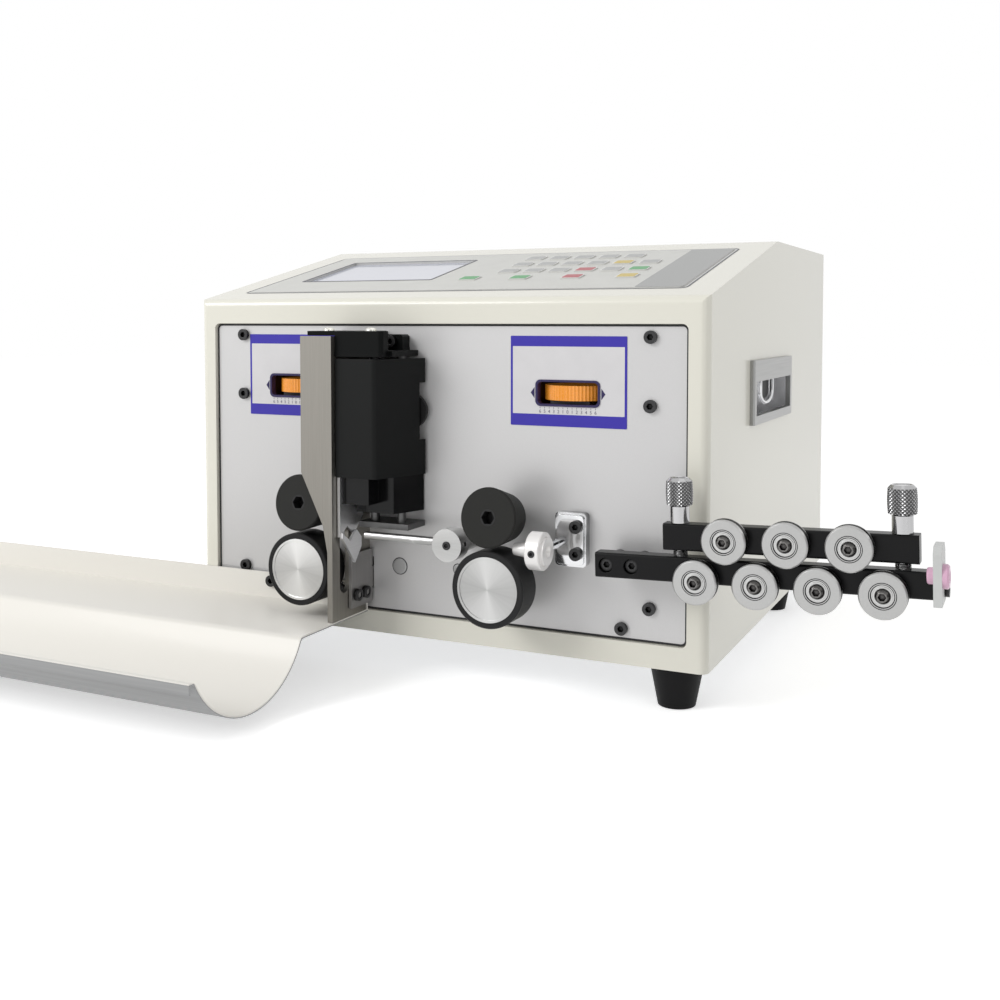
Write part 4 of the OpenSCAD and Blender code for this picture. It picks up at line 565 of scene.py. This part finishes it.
def add_piece(name, bm, place, finish, body, smooth=True):
    """Makes an object of a mesh in millimetres, sets it in place and lets it ride on a body."""
    bmesh.ops.recalc_face_normals(bm, faces=bm.faces)
    mesh = bpy.data.meshes.new(name)
    bm.to_mesh(mesh)
    bm.free()
    mesh.transform(place @ Matrix.Scale(MM, 4))
    mesh.materials.append(finish.material)
    if smooth:
        mesh.shade_smooth()
        mesh.set_sharp_from_angle(angle=SHARP_ANGLE)
    made = bpy.data.objects.new(name, mesh)
    bpy.context.scene.collection.objects.link(made)
    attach(made, body)
    return made


def circle_points(r, count):
    """Points round a circle about the origin, anticlockwise."""
    turns = (math.tau * i / count for i in range(count))
    return [(r * math.cos(a), r * math.sin(a)) for a in turns]


def round_rect(w, h, r, x=0.0, y=0.0, inset=0.0):
    """Points of a rectangle with round corners about a middle point, anticlockwise.

    inset moves the whole outline inwards.
    """
    half_w, half_h = w / 2 - r, h / 2 - r
    r -= inset
    points = []
    for cx, cy, start in ((1, 1, 0), (-1, 1, 90), (-1, -1, 180), (1, -1, 270)):
        for i in range(CORNER_STEPS + 1):
            a = math.radians(start + 90 * i / CORNER_STEPS)
            points.append((x + cx * half_w + r * math.cos(a), y + cy * half_h + r * math.sin(a)))
    return points


def join_rings(bm, rings):
    """Faces between closed rings with the same number of points."""
    n = len(rings[0])
    for a, b in zip(rings, rings[1:]):
        for i in range(n):
            bm.faces.new((a[i], a[(i + 1) % n], b[(i + 1) % n], b[i]))


def add_plate(bm, outline, low, high, bevel=0.0):
    """A flat closed plate with an optional chamfer round its top."""
    bottom = [bm.verts.new((x, y, low)) for x, y in outline]
    rings = [bottom]
    if bevel:
        cx = sum(p[0] for p in outline) / len(outline)
        cy = sum(p[1] for p in outline) / len(outline)
        reach = max(math.hypot(x - cx, y - cy) for x, y in outline)
        k = 1 - bevel / reach
        rings.append([bm.verts.new((x, y, high - bevel)) for x, y in outline])
        outline = [(cx + (x - cx) * k, cy + (y - cy) * k) for x, y in outline]
    rings.append([bm.verts.new((x, y, high)) for x, y in outline])
    join_rings(bm, rings)
    bm.faces.new(list(reversed(bottom)))
    bm.faces.new(rings[-1])


def add_ring_plate(bm, outer, inner, low, high):
    """A flat closed ring between two outlines with the same number of points."""
    corners = ((outer, low), (outer, high), (inner, high), (inner, low))
    loops = [[bm.verts.new((x, y, z)) for x, y in points] for points, z in corners]
    join_rings(bm, loops + loops[:1])


def add_lathe(bm, profile, segments=48, knurl=None):
    """Turns a profile of (radius, height) about z. knurl is (first row, last row, depth)."""
    valley = bm.verts.layers.float.new("valley")
    rows = []
    for j, (r, z) in enumerate(profile):
        if r == 0:
            rows.append([bm.verts.new((0, 0, z))])
            continue
        row = []
        for i in range(segments):
            cut = knurl[2] if knurl and knurl[0] <= j <= knurl[1] and (i + j) % 2 else 0.0
            a = 2 * math.pi * i / segments
            vert = bm.verts.new(((r - cut) * math.cos(a), (r - cut) * math.sin(a), z))
            vert[valley] = 1.0 if cut else 0.0
            row.append(vert)
        rows.append(row)
    for a, b in zip(rows, rows[1:]):
        for i in range(segments):
            k = (i + 1) % segments
            if len(a) == 1:
                bm.faces.new((a[0], b[k], b[i]))
            elif len(b) == 1:
                bm.faces.new((a[i], a[k], b[0]))
            elif a[i][valley] > a[k][valley] or b[k][valley] > b[i][valley]:
                bm.faces.new((a[i], a[k], b[k]))
                bm.faces.new((a[i], b[k], b[i]))
            else:
                bm.faces.new((a[i], a[k], b[i]))
                bm.faces.new((a[k], b[k], b[i]))


def add_tube(bm, points, r, sides=8):
    """A closed round wire along points."""
    rings = []
    for i, p in enumerate(points):
        here = Vector(p)
        after, before = points[min(i + 1, len(points) - 1)], points[max(i - 1, 0)]
        ahead = Vector(after) - Vector(before)
        ahead.normalize()
        side = ahead.cross(Vector((0, 0, 1)))
        side.normalize()
        up = side.cross(ahead)
        ring = []
        for k in range(sides):
            a = 2 * math.pi * k / sides
            ring.append(bm.verts.new(here + r * (math.cos(a) * side + math.sin(a) * up)))
        rings.append(ring)
    join_rings(bm, rings)
    bm.faces.new(list(reversed(rings[0])))
    bm.faces.new(rings[-1])


# Printed fields round the gap windows

print_violet = plastic("field_violet_print", (0.042, 0.029, 0.39), rough=0.4, strength=0.05,
                       edge=0.0)
print_pale = plastic("field_pale_print", (0.71, 0.70, 0.71), rough=0.42, strength=0.05, edge=0.0)
print_indigo = plastic("field_indigo_rim", (0.024, 0.016, 0.085), rough=0.3, strength=0.05)
print_ink = plastic("field_scale_ink", (0.13, 0.12, 0.19), rough=0.5, strength=0.05, edge=0.0)

FIELD_W, FIELD_H, FIELD_CORNER, GROUND_CORNER = 83.0, 60.4, 0.6, 0.4
FIELD_MID_Z = 212.2
BAND_TOP, BAND_LOW, BAND_SIDE = 7.0, 8.0, 1.6
RIM_W, RIM_H, RIM_CORNER, RIM_PROUD = 46.2, 17.8, 3.6, 0.9
WINDOW = (43.6, 15.5, 3.0)
LINER_OUT, LINER_IN = 0.05, 0.35
FILM, INK = 0.3, 0.1
SCALE_STEP, SCALE_LAST = 3.3, 6
DIGIT_SIZE, DIGIT_DOWN = 3.2, -13.4
TICK_TOP, TICK_LOW, TICK_HALF = -9.4, -10.5, 0.14
ARROW_ROOT, ARROW_TIP, ARROW_HALF = 0.8, 3.6, 3.7
PANEL_BACK = highest("front_panel", 1)
SHROUD_X, SHROUD_T, SHROUD_H, SHROUD_DEEP = 27.0, 1.0, 24.0, 44.5


def scale_digit(bm, digit, x, y, size):
    """Adds one printed digit to a mesh."""
    curve = bpy.data.curves.new("scale_digit", "FONT")
    curve.body = str(digit)
    curve.align_x = "CENTER"
    curve.size = size
    curve.resolution_u = 3
    letter = bpy.data.objects.new("scale_digit", curve)
    bpy.context.scene.collection.objects.link(letter)
    bpy.context.view_layer.update()
    solved = letter.evaluated_get(bpy.context.evaluated_depsgraph_get())
    mesh = bpy.data.meshes.new_from_object(solved)
    mesh.transform(Matrix.Translation((x, y, 0)))
    bm.from_mesh(mesh)
    bpy.data.objects.remove(letter)
    bpy.data.curves.remove(curve)
    bpy.data.meshes.remove(mesh)


def add_gap_scale(bm):
    """Digits and ticks of the gap scale, as thin closed plates."""
    for i in range(-SCALE_LAST, SCALE_LAST + 1):
        scale_digit(bm, abs(i), i * SCALE_STEP, DIGIT_DOWN, DIGIT_SIZE)
    top = bmesh.ops.extrude_face_region(bm, geom=bm.faces[:])
    for item in top["geom"]:
        if isinstance(item, bmesh.types.BMVert):
            item.co.z = INK
    for i in range(-SCALE_LAST, SCALE_LAST + 1):
        left, right = i * SCALE_STEP - TICK_HALF, i * SCALE_STEP + TICK_HALF
        tick = [(left, TICK_LOW), (right, TICK_LOW), (right, TICK_TOP), (left, TICK_TOP)]
        add_plate(bm, tick, 0.0, INK)


def shroud_outline():
    """A box round a gap wheel, open to the panel, as seen from above."""
    out, into = SHROUD_X, SHROUD_X - SHROUD_T
    back = PANEL_BACK + SHROUD_DEEP
    return [(-out, back), (-out, PANEL_BACK), (-into, PANEL_BACK), (-into, back - SHROUD_T),
            (into, back - SHROUD_T), (into, PANEL_BACK), (out, PANEL_BACK), (out, back)]


for side, window_x in GAP_WINDOWS.items():
    place = panel_frame(window_x, FIELD_MID_Z)
    at_window = panel_frame(window_x, GAP_WINDOW_Z)
    on_film = panel_frame(window_x, GAP_WINDOW_Z, FILM)
    down = GAP_WINDOW_Z - FIELD_MID_Z
    inner_w, inner_h = FIELD_W - 2 * BAND_SIDE, FIELD_H - BAND_TOP - BAND_LOW
    inner = round_rect(inner_w, inner_h, GROUND_CORNER, 0.0, (BAND_LOW - BAND_TOP) / 2)
    bm = bmesh.new()
    add_ring_plate(bm, round_rect(FIELD_W, FIELD_H, FIELD_CORNER), inner, 0.0, FILM)
    add_piece(side + "_field_border", bm, place, print_violet, "frame")
    bm = bmesh.new()
    add_ring_plate(bm, inner, round_rect(RIM_W, RIM_H, RIM_CORNER, 0.0, down), 0.0, FILM)
    add_piece(side + "_field_ground", bm, place, print_pale, "frame")
    bm = bmesh.new()
    add_ring_plate(bm, round_rect(RIM_W, RIM_H, RIM_CORNER), round_rect(*WINDOW), 0.0, RIM_PROUD)
    liner = [round_rect(*WINDOW, inset=inset) for inset in (LINER_OUT, LINER_IN)]
    add_ring_plate(bm, *liner, PANEL_Y - PANEL_BACK, RIM_PROUD)
    add_piece(side + "_window_rim", bm, at_window, print_indigo, "frame")
    bm = bmesh.new()
    add_gap_scale(bm)
    add_piece(side + "_gap_scale", bm, on_film, print_ink, "frame", False)
    bm = bmesh.new()
    for way in (-1, 1):
        root, tip = way * (RIM_W / 2 + ARROW_ROOT), way * (RIM_W / 2 + ARROW_TIP)
        add_plate(bm, [(tip, 0.0), (root, way * ARROW_HALF), (root, -way * ARROW_HALF)], 0.0, INK)
    add_piece(side + "_gap_arrows", bm, on_film, print_indigo, "frame", False)
    bm = bmesh.new()
    low, high = GAP_WINDOW_Z - SHROUD_H / 2, GAP_WINDOW_Z + SHROUD_H / 2
    add_plate(bm, shroud_outline(), low, high)
    place = Matrix.Translation((window_x * MM, 0, 0))
    add_piece(side + "_wheel_shroud", bm, place, motor_black, "frame", False)

# Painted shade in the seam round the panel, and plugs in the panel, each ringed by painted shade in
# its seam

plug_grey = lacquered_silver("panel_plug_grey", (0.40, 0.40, 0.40))
# A dark ring laid over the gap and the panel's edge is painted shade, and so is the ring round each
# plug.
seam_shade = plastic("seam_shade", (0.03, 0.03, 0.032), rough=0.6, edge=0.0)
PANEL_GAP, PANEL_CORNER, PANEL_SEAM = 0.5, 3.5, 0.7
PLUG_SEAM, PLUG_POINTS = 0.6, 40
PLUG_RIM, PLUG_SHOULDER, PLUG_TOP = 0.4, 0.7, 0.75
PLUGS = (("wide_panel_plug", -25.5, 77.0, 5.6), ("small_panel_plug", 21.3, 79.0, 3.4))
panel_w = highest("front_panel", 0) - lowest("front_panel", 0)
panel_h = highest("front_panel", 2) - lowest("front_panel", 2)
bm = bmesh.new()
seam = [round_rect(panel_w, panel_h, PANEL_CORNER, inset=inset) for inset in (-PANEL_GAP, PANEL_SEAM)]
add_ring_plate(bm, *seam, 0.0, INK)
place = panel_frame(middle("front_panel", 0), middle("front_panel", 2))
add_piece("panel_seam_shade", bm, place, seam_shade, "frame")
for name, x, z, r in PLUGS:
    bm = bmesh.new()
    add_lathe(bm, [(0, 0), (r, 0), (r, PLUG_RIM), (r - 0.4, PLUG_SHOULDER), (r - 1.2, PLUG_TOP),
                   (0, PLUG_TOP)])
    add_piece(name, bm, panel_frame(x, z), plug_grey, "frame")
    bm = bmesh.new()
    rings = [circle_points(r + PLUG_SEAM, PLUG_POINTS), circle_points(r, PLUG_POINTS)]
    add_ring_plate(bm, *rings, 0.0, INK)
    add_piece(name + "_seam_shade", bm, panel_frame(x, z), seam_shade, "frame")

# Control plate: outline, display frame, bare grey zone, key caps and painted highlights round the
# keys

FILM_TOP = 0.5
PLATE_FROM = 25.0
PLATE_MID = PLATE_FROM + 75.0
OUTLINE = (355.4, 149.4, 5.6, 0.0, PLATE_MID)
OUTLINE_WIDE, OUTLINE_PROUD = 0.9, 0.2
DISPLAY = (116.0, 80.0, 0.4, -92.0, PLATE_FROM + 82.0)
DISPLAY_RIM, DISPLAY_PROUD = 1.2, 0.3
ZONE = (33.6, 143.0, 2.0, 157.8, PLATE_MID)
ZONE_PROUD = 0.2
KEY_X0, KEY_Y0 = -1.0, PLATE_FROM + 42.5
KEY_PITCH_X, KEY_PITCH_Y = 20.7, 26.5
KEY_W, KEY_L, KEY_CORNER, KEY_TOP = 15.0, 13.0, 1.5, 1.2
KEY_EDGE, KEY_EDGE_PROUD = 0.8, 0.2
CAP_CORNER, CAP_PROUD, CAP_BEVEL = 1.2, 0.3, 0.2
GREY_BLOCK = [(c, r) for c in range(1, 5) for r in range(1, 4) if (c, r) != (4, 1)]
# Each colour with its keys, as columns from the left and rows from the front
KEY_COLOURS = {
    "green": ((0.075, 0.36, 0.12), [(0, 0), (2, 0), (6, 1)]),
    "red": ((0.46, 0.075, 0.09), [(4, 0), (4, 1)]),
    "yellow": ((0.62, 0.47, 0.10), [(6, 0), (5, 2)]),
    "grey": ((0.42, 0.425, 0.42), GREY_BLOCK + [(5, 1), (6, 2), (5, 3)]),
}
outline_grey = plastic("plate_outline_grey", (0.14, 0.14, 0.16), rough=0.4, edge=0.0)
zone_grey = lacquered_silver("plate_bare_grey", (0.36, 0.365, 0.36))
# The pale rims round the keys are painted highlights, standing for the glint on each key's edges.
key_edge_highlight = plastic("key_edge_highlight", (0.82, 0.82, 0.80), rough=0.25, strength=0.05,
                         coat=0.2)

bm = bmesh.new()
add_ring_plate(bm, round_rect(*OUTLINE), round_rect(*OUTLINE, inset=OUTLINE_WIDE), 0.0, OUTLINE_PROUD)
add_piece("plate_outline", bm, slope_frame(), outline_grey, "frame")
bm = bmesh.new()
add_ring_plate(bm, round_rect(*DISPLAY, inset=-DISPLAY_RIM), round_rect(*DISPLAY),
               FILM_TOP, FILM_TOP + DISPLAY_PROUD)
add_piece("display_frame", bm, slope_frame(), outline_grey, "frame")
bm = bmesh.new()
add_plate(bm, round_rect(*ZONE), FILM_TOP, FILM_TOP + ZONE_PROUD)
add_piece("plate_bare_zone", bm, slope_frame(), zone_grey, "frame")

edges = bmesh.new()
for shade_name, (colour, keys) in KEY_COLOURS.items():
    bm = bmesh.new()
    for c, r in keys:
        x, y = KEY_X0 + c * KEY_PITCH_X, KEY_Y0 + r * KEY_PITCH_Y
        cap = round_rect(KEY_W - 2 * KEY_EDGE, KEY_L - 2 * KEY_EDGE, CAP_CORNER, x, y)
        add_plate(bm, cap, KEY_TOP, KEY_TOP + CAP_PROUD, CAP_BEVEL)
        edge = round_rect(KEY_W, KEY_L, KEY_CORNER, x, y)
        # Painted highlight: a pale rim round each cap.
        add_ring_plate(edges, edge, cap, KEY_TOP, KEY_TOP + KEY_EDGE_PROUD)
    key_finish = plastic("key_" + shade_name, colour, rough=0.35, strength=0.08, coat=0.1)
    add_piece(shade_name + "_keys", bm, slope_frame(), key_finish, "frame")
add_piece("key_edge_highlights", edges, slope_frame(), key_edge_highlight, "frame")

# Small screws: pan heads on the cutter head, and black sockets in the conduit, the lower blade
# holder and the inlet guide

PAN_R, PAN_H, PAN_SIDE, PAN_SEGMENTS = 3.8, 2.6, 0.5, 32
PAN_HOLE_MOUTH, PAN_HOLE_FLOOR, PAN_HOLE_DEEP = 0.9, 0.8, 0.9
PAN_X, PAN_OUT = (-58.0, -24.0), 40.0
HEAD_TOP = highest("cutter_head", 2)
pan_bright = polished("pan_head_bright", (0.78, 0.77, 0.72), rough=0.1)


def pan_profile():
    """A domed head with a small round hole in its top, as (radius, height)."""
    turns = [math.radians(t) for t in range(0, 76, 15)]
    dome = [(PAN_R * math.cos(a), PAN_SIDE + (PAN_H - PAN_SIDE) * math.sin(a)) for a in turns]
    floor = PAN_H - PAN_HOLE_DEEP
    hole = [(PAN_HOLE_MOUTH, PAN_H - 0.1), (PAN_HOLE_FLOOR, floor), (0, floor)]
    return [(0, 0), (PAN_R, 0), *dome, *hole]


bm = bmesh.new()
for x in PAN_X:
    pan = bmesh.new()
    add_lathe(pan, pan_profile(), PAN_SEGMENTS)
    bmesh.ops.translate(pan, verts=pan.verts, vec=(x, PANEL_Y - PAN_OUT, HEAD_TOP))
    scratch = bpy.data.meshes.new("pan_head")
    pan.to_mesh(scratch)
    pan.free()
    bm.from_mesh(scratch)
    bpy.data.meshes.remove(scratch)
add_piece("head_pan_screws", bm, Matrix(), pan_bright, "frame")

RIM_POINTS, HEX_SIDES = 36, 6
HEX_SHARE, LIP_SHARE = 0.52, 0.88
SHOULDER_Z, FACE_Z, SOCKET_Z = 0.3, 0.55, -0.2


def add_socket_screw(name, place, r, body, deep=0.4):
    """A black socket screw's face with a six-sided recess."""
    bm = bmesh.new()

    def ring(points, z):
        return [bm.verts.new((x, y, z)) for x, y in points]

    rim, hexagon = circle_points(r, RIM_POINTS), circle_points(HEX_SHARE * r, HEX_SIDES)
    low, top = ring(rim, -deep), ring(rim, SHOULDER_Z)
    inset = ring(circle_points(LIP_SHARE * r, RIM_POINTS), FACE_Z)
    mouth, floor = ring(hexagon, FACE_Z), ring(hexagon, SOCKET_Z)
    join_rings(bm, (low, top, inset))
    step = RIM_POINTS // HEX_SIDES
    for i in range(HEX_SIDES):
        k = (i + 1) % HEX_SIDES
        arc = [inset[(step * i + j) % RIM_POINTS] for j in range(step + 1)]
        bm.faces.new((*arc, mouth[k], mouth[i]))
        bm.faces.new((mouth[i], mouth[k], floor[k], floor[i]))
    bm.faces.new(floor)
    bm.faces.new(list(reversed(low)))
    return add_piece(name, bm, place, screw_black, body)


HOLDER_HEAD_R, HOLDER_HEAD_H = 4.35, 2.6
HOLDER_RIGHT, HOLDER_Z = lowest("lower_blade", 0) + HOLDER_HEAD_H, 59.0
HOLDER_BEHIND = {"outer": 11.0, "inner": 22.0}
CONDUIT_X, CONDUIT_Z, CONDUIT_SCREW_R = 33.3, WIRE_Z - 1.0, 2.9
GUIDE_X, GUIDE_SCREW_R = 97.4, 2.3
on_conduit = facing_front(CONDUIT_X, lowest("conduit_arm", 1), CONDUIT_Z)
add_socket_screw("conduit_screw", on_conduit, CONDUIT_SCREW_R, "conduit")
for name, behind in HOLDER_BEHIND.items():
    place = facing_right(HOLDER_RIGHT, WIRE_Y + behind, HOLDER_Z)
    add_socket_screw(name + "_holder_screw", place, HOLDER_HEAD_R, "lower_cutter", HOLDER_HEAD_H)
on_guide = facing_front(GUIDE_X, lowest("inlet_guide", 1), WIRE_Z)
add_socket_screw("guide_set_screw", on_guide, GUIDE_SCREW_R, "frame")

# A bright bail in front of a dark slot in each handle's scoop, the slot being painted shade and dark
# reflection

BAIL_HALF, BAIL_TOP, BAIL_KNEE, BAIL_LOW, BAIL_IN = 20.0, 25.0, 15.0, 6.5, 3.2
BAIL_WIRE, BAIL_SIDES, BAIL_STEPS = 1.7, 12, 16
SLOT_HALF, SLOT_SHIFT, SLOT_LOW, SLOT_FRONT, SLOT_BACK = 11.0, 6.0, 9.5, 5.2, 6.2
# Turns x to the back, y up and z to the right
UPRIGHT = Matrix(((0, 0, 1, 0), (1, 0, 0, 0), (0, 1, 0, 0), (0, 0, 0, 1)))
# The dark slot is painted shade and dark reflection inside the scoop.
slot_shade = plastic("handle_slot_painted_shade", (0.01, 0.01, 0.0105), rough=0.5, edge=0.0)


def bail_path(half, low):
    """An arch open at its top, as points along the cabinet and up from the scoop's lower edge."""
    turns = [math.pi + math.pi * i / BAIL_STEPS for i in range(BAIL_STEPS + 1)]
    drop = BAIL_KNEE - low
    bend = [(half * math.cos(a), BAIL_KNEE + drop * math.sin(a)) for a in turns]
    return [(-half, BAIL_TOP), *bend, (half, BAIL_TOP)]


for name, side in (("right", 1), ("left", -1)):
    bail_x = side * (HANDLE_FACE - BAIL_IN)
    place = Matrix.Translation((bail_x * MM, HANDLE_MID_Y * MM, SCOOP_LOW * MM)) @ UPRIGHT
    bm = bmesh.new()
    bail = [(-along, up, 0.0) for along, up in bail_path(BAIL_HALF, BAIL_LOW)]
    add_tube(bm, bail, BAIL_WIRE, BAIL_SIDES)
    add_piece(name + "_handle_bail", bm, place, chrome, "frame")
    bm = bmesh.new()
    slot = [(SLOT_SHIFT + along, up) for along, up in bail_path(SLOT_HALF, SLOT_LOW)]
    add_plate(bm, slot, -side * (SLOT_BACK - BAIL_IN), -side * (SLOT_FRONT - BAIL_IN))
    add_piece(name + "_handle_slot_shade", bm, place, slot_shade, "frame", False)

# Knurled thumb screws and coil springs of the straightener

BAR_MID_V = 11.0
BAR_TOP_W = 21.05
THUMB_U = {"inner": 84.4, "outer": 215.2}
# Thumb screw below and above its knurl, as (radius, height)
THUMB_SHANK = [(0, -29.2), (2.7, -29.2), (3.0, -28.8), (3.0, 0.3), (6.0, 0.3), (6.0, 10.4),
               (5.4, 11.0), (7.2, 11.0)]
THUMB_CROWN = [(7.7, 26.4), (6.2, 28.0), (5.6, 28.0), (5.0, 27.5), (0, 27.5)]
KNURL_R, KNURL_SWELL, KNURL_LOW, KNURL_H = 8.15, 0.35, 11.5, 14.2
KNURL_ROWS, KNURL_TEETH, KNURL_DEPTH = 13, 44, 0.55
COIL_R, COIL_WIRE, COIL_TURNS, COIL_STEPS = 4.2, 0.38, 3.5, 20
COIL_LOW, COIL_HIGH, COIL_SEAT = 1.0, 4.15, 0.65
for name, u in THUMB_U.items():
    knurl = []
    for j in range(KNURL_ROWS + 1):
        t = j / KNURL_ROWS
        swell = KNURL_SWELL * math.sin(math.pi * t)
        knurl.append((KNURL_R + swell, KNURL_LOW + KNURL_H * t))
    first = len(THUMB_SHANK)
    bm = bmesh.new()
    add_lathe(bm, THUMB_SHANK + knurl + THUMB_CROWN, KNURL_TEETH,
              knurl=(first, first + KNURL_ROWS, KNURL_DEPTH))
    place = straightener_frame() @ Matrix.Translation((u * MM, BAR_MID_V * MM, BAR_TOP_W * MM))
    screw = add_piece(name + "_knurled_screw", bm, place, thumb_chrome, name + "_thumb")
    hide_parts(name + "_thumb_screw")
    coil = []
    for i in range(int(COIL_TURNS * COIL_STEPS) + 1):
        a = math.tau * i / COIL_STEPS
        rise = COIL_LOW + (COIL_HIGH - COIL_LOW) * i / (COIL_TURNS * COIL_STEPS)
        coil.append((COIL_R * math.cos(a), COIL_R * math.sin(a), rise))
    bm = bmesh.new()
    add_tube(bm, coil, COIL_WIRE)
    place = straightener_frame() @ Matrix.Translation((u * MM, BAR_MID_V * MM, 0))
    spring = add_piece(name + "_coil_spring", bm, place, thread_steel, "frame")
    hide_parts(name + "_spring")
    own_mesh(spring)

# Stage, light and camera

WHITE = (1.0, 1.0, 1.0, 1.0)
FLOOR_TONE = (0.88, 0.88, 0.88, 1.0)
FLOOR_HALF, FLOOR_DROP, FLOOR_LIFT = 6.0, 0.0005, 0.5
AMBIENT, BACKDROP = 0.57, 1.0


def seen_directly(tree):
    """A mask of the rays that see the background: camera, glossy and transmission rays."""
    path = tree.nodes.new("ShaderNodeLightPath")
    mask = path.outputs["Is Camera Ray"]
    for kind in ("Is Glossy Ray", "Is Transmission Ray"):
        either = tree.nodes.new("ShaderNodeMath")
        either.operation = "MAXIMUM"
        tree.links.new(mask, either.inputs[0])
        tree.links.new(path.outputs[kind], either.inputs[1])
        mask = either.outputs[0]
    return mask


def flat_sheet(name, place, half_w, half_h, material):
    """A flat sheet of the studio, which isn't part of the machine."""
    bm = bmesh.new()
    size = Matrix.Diagonal((half_w, half_h, 1, 1))
    bmesh.ops.create_grid(bm, x_segments=1, y_segments=1, size=1.0, matrix=size)
    mesh = bpy.data.meshes.new(name)
    bm.to_mesh(mesh)
    bm.free()
    mesh.transform(place)
    mesh.materials.append(material)
    sheet = bpy.data.objects.new(name, mesh)
    bpy.context.scene.collection.objects.link(sheet)
    return sheet


floor_material = bpy.data.materials.new("studio_floor_white")
floor_material.use_nodes = True
tree = floor_material.node_tree
matte = tree.nodes.new("ShaderNodeBsdfDiffuse")
matte.inputs["Color"].default_value = FLOOR_TONE
glow = tree.nodes.new("ShaderNodeEmission")
glow.inputs["Color"].default_value = WHITE
glow.inputs["Strength"].default_value = FLOOR_LIFT
both = tree.nodes.new("ShaderNodeAddShader")
choose = tree.nodes.new("ShaderNodeMixShader")
tree.links.new(matte.outputs[0], both.inputs[0])
tree.links.new(glow.outputs[0], both.inputs[1])
tree.links.new(seen_directly(tree), choose.inputs[0])
tree.links.new(matte.outputs[0], choose.inputs[1])
tree.links.new(both.outputs[0], choose.inputs[2])
tree.links.new(choose.outputs[0], tree.nodes["Material Output"].inputs["Surface"])
under = Matrix.Translation((0, 0, -FLOOR_DROP))
flat_sheet("studio_floor", under, FLOOR_HALF, FLOOR_HALF, floor_material)

world = bpy.data.worlds.new("studio_world")
bpy.context.scene.world = world
world.use_nodes = True
tree = world.node_tree
ambient = tree.nodes["Background"]
white = tree.nodes.new("ShaderNodeBackground")
for shader, strength in ((ambient, AMBIENT), (white, BACKDROP)):
    shader.inputs["Color"].default_value = WHITE
    shader.inputs["Strength"].default_value = strength
choose = tree.nodes.new("ShaderNodeMixShader")
tree.links.new(seen_directly(tree), choose.inputs[0])
tree.links.new(ambient.outputs[0], choose.inputs[1])
tree.links.new(white.outputs[0], choose.inputs[2])
tree.links.new(choose.outputs[0], tree.nodes["World Output"].inputs["Surface"])


def towards(spot, aim):
    """Frame at a spot whose -z points to an aim."""
    turn = (Vector(aim) - Vector(spot)).to_track_quat("-Z", "Y")
    return Matrix.Translation(spot) @ turn.to_matrix().to_4x4()


def softbox(name, spot, aim, size, power):
    """A rectangular lamp that the camera doesn't see."""
    lamp = bpy.data.lights.new(name, "AREA")
    lamp.shape = "RECTANGLE"
    lamp.size, lamp.size_y = size
    lamp.energy = power
    made = bpy.data.objects.new(name, lamp)
    bpy.context.scene.collection.objects.link(made)
    made.matrix_world = towards(spot, aim)
    made.visible_camera = False


def dark_card(name, spot, aim, half_w, half_h):
    """A dark card that only bright metal shows, as a dark band in its shine."""
    card = flat_sheet(name, towards(spot, aim), half_w, half_h, card_dark.material)
    for kind in ("camera", "diffuse", "shadow"):
        setattr(card, "visible_" + kind, False)


softbox("key_softbox", (-1.35, -1.75, 1.4), (0.0, -0.2, 0.15), (1.2, 1.0), 29.0)
softbox("fill_softbox", (1.8, -1.0, 0.9), (0.1, -0.1, 0.15), (0.8, 1.2), 4.0)
softbox("top_softbox", (0.2, 0.2, 2.0), (0.0, 0.0, 0.2), (1.6, 1.2), 1.5)
card_dark = plastic("studio_card_dark", (0.012, 0.012, 0.013), rough=0.8, gloss=0.0, edge=0.0)
dark_card("front_card", (0.75, -1.5, 0.45), (0.3, -0.2, 0.12), 0.28, 0.5)
dark_card("right_card", (1.45, -0.75, 0.35), (0.3, -0.2, 0.12), 0.3, 0.35)

camera_data = bpy.data.cameras.new("photo_camera")
camera_data.sensor_width = 36.0
camera_data.lens = 41.714
camera_data.shift_y = -0.125
camera = bpy.data.objects.new("photo_camera", camera_data)
bpy.context.scene.collection.objects.link(camera)
camera.location = (0.39140, -0.87527, 0.25233)
camera.rotation_euler = (math.radians(87.333), 0.0, math.radians(25.331))
bpy.context.scene.camera = camera
bpy.context.scene.view_settings.view_transform = "Standard"
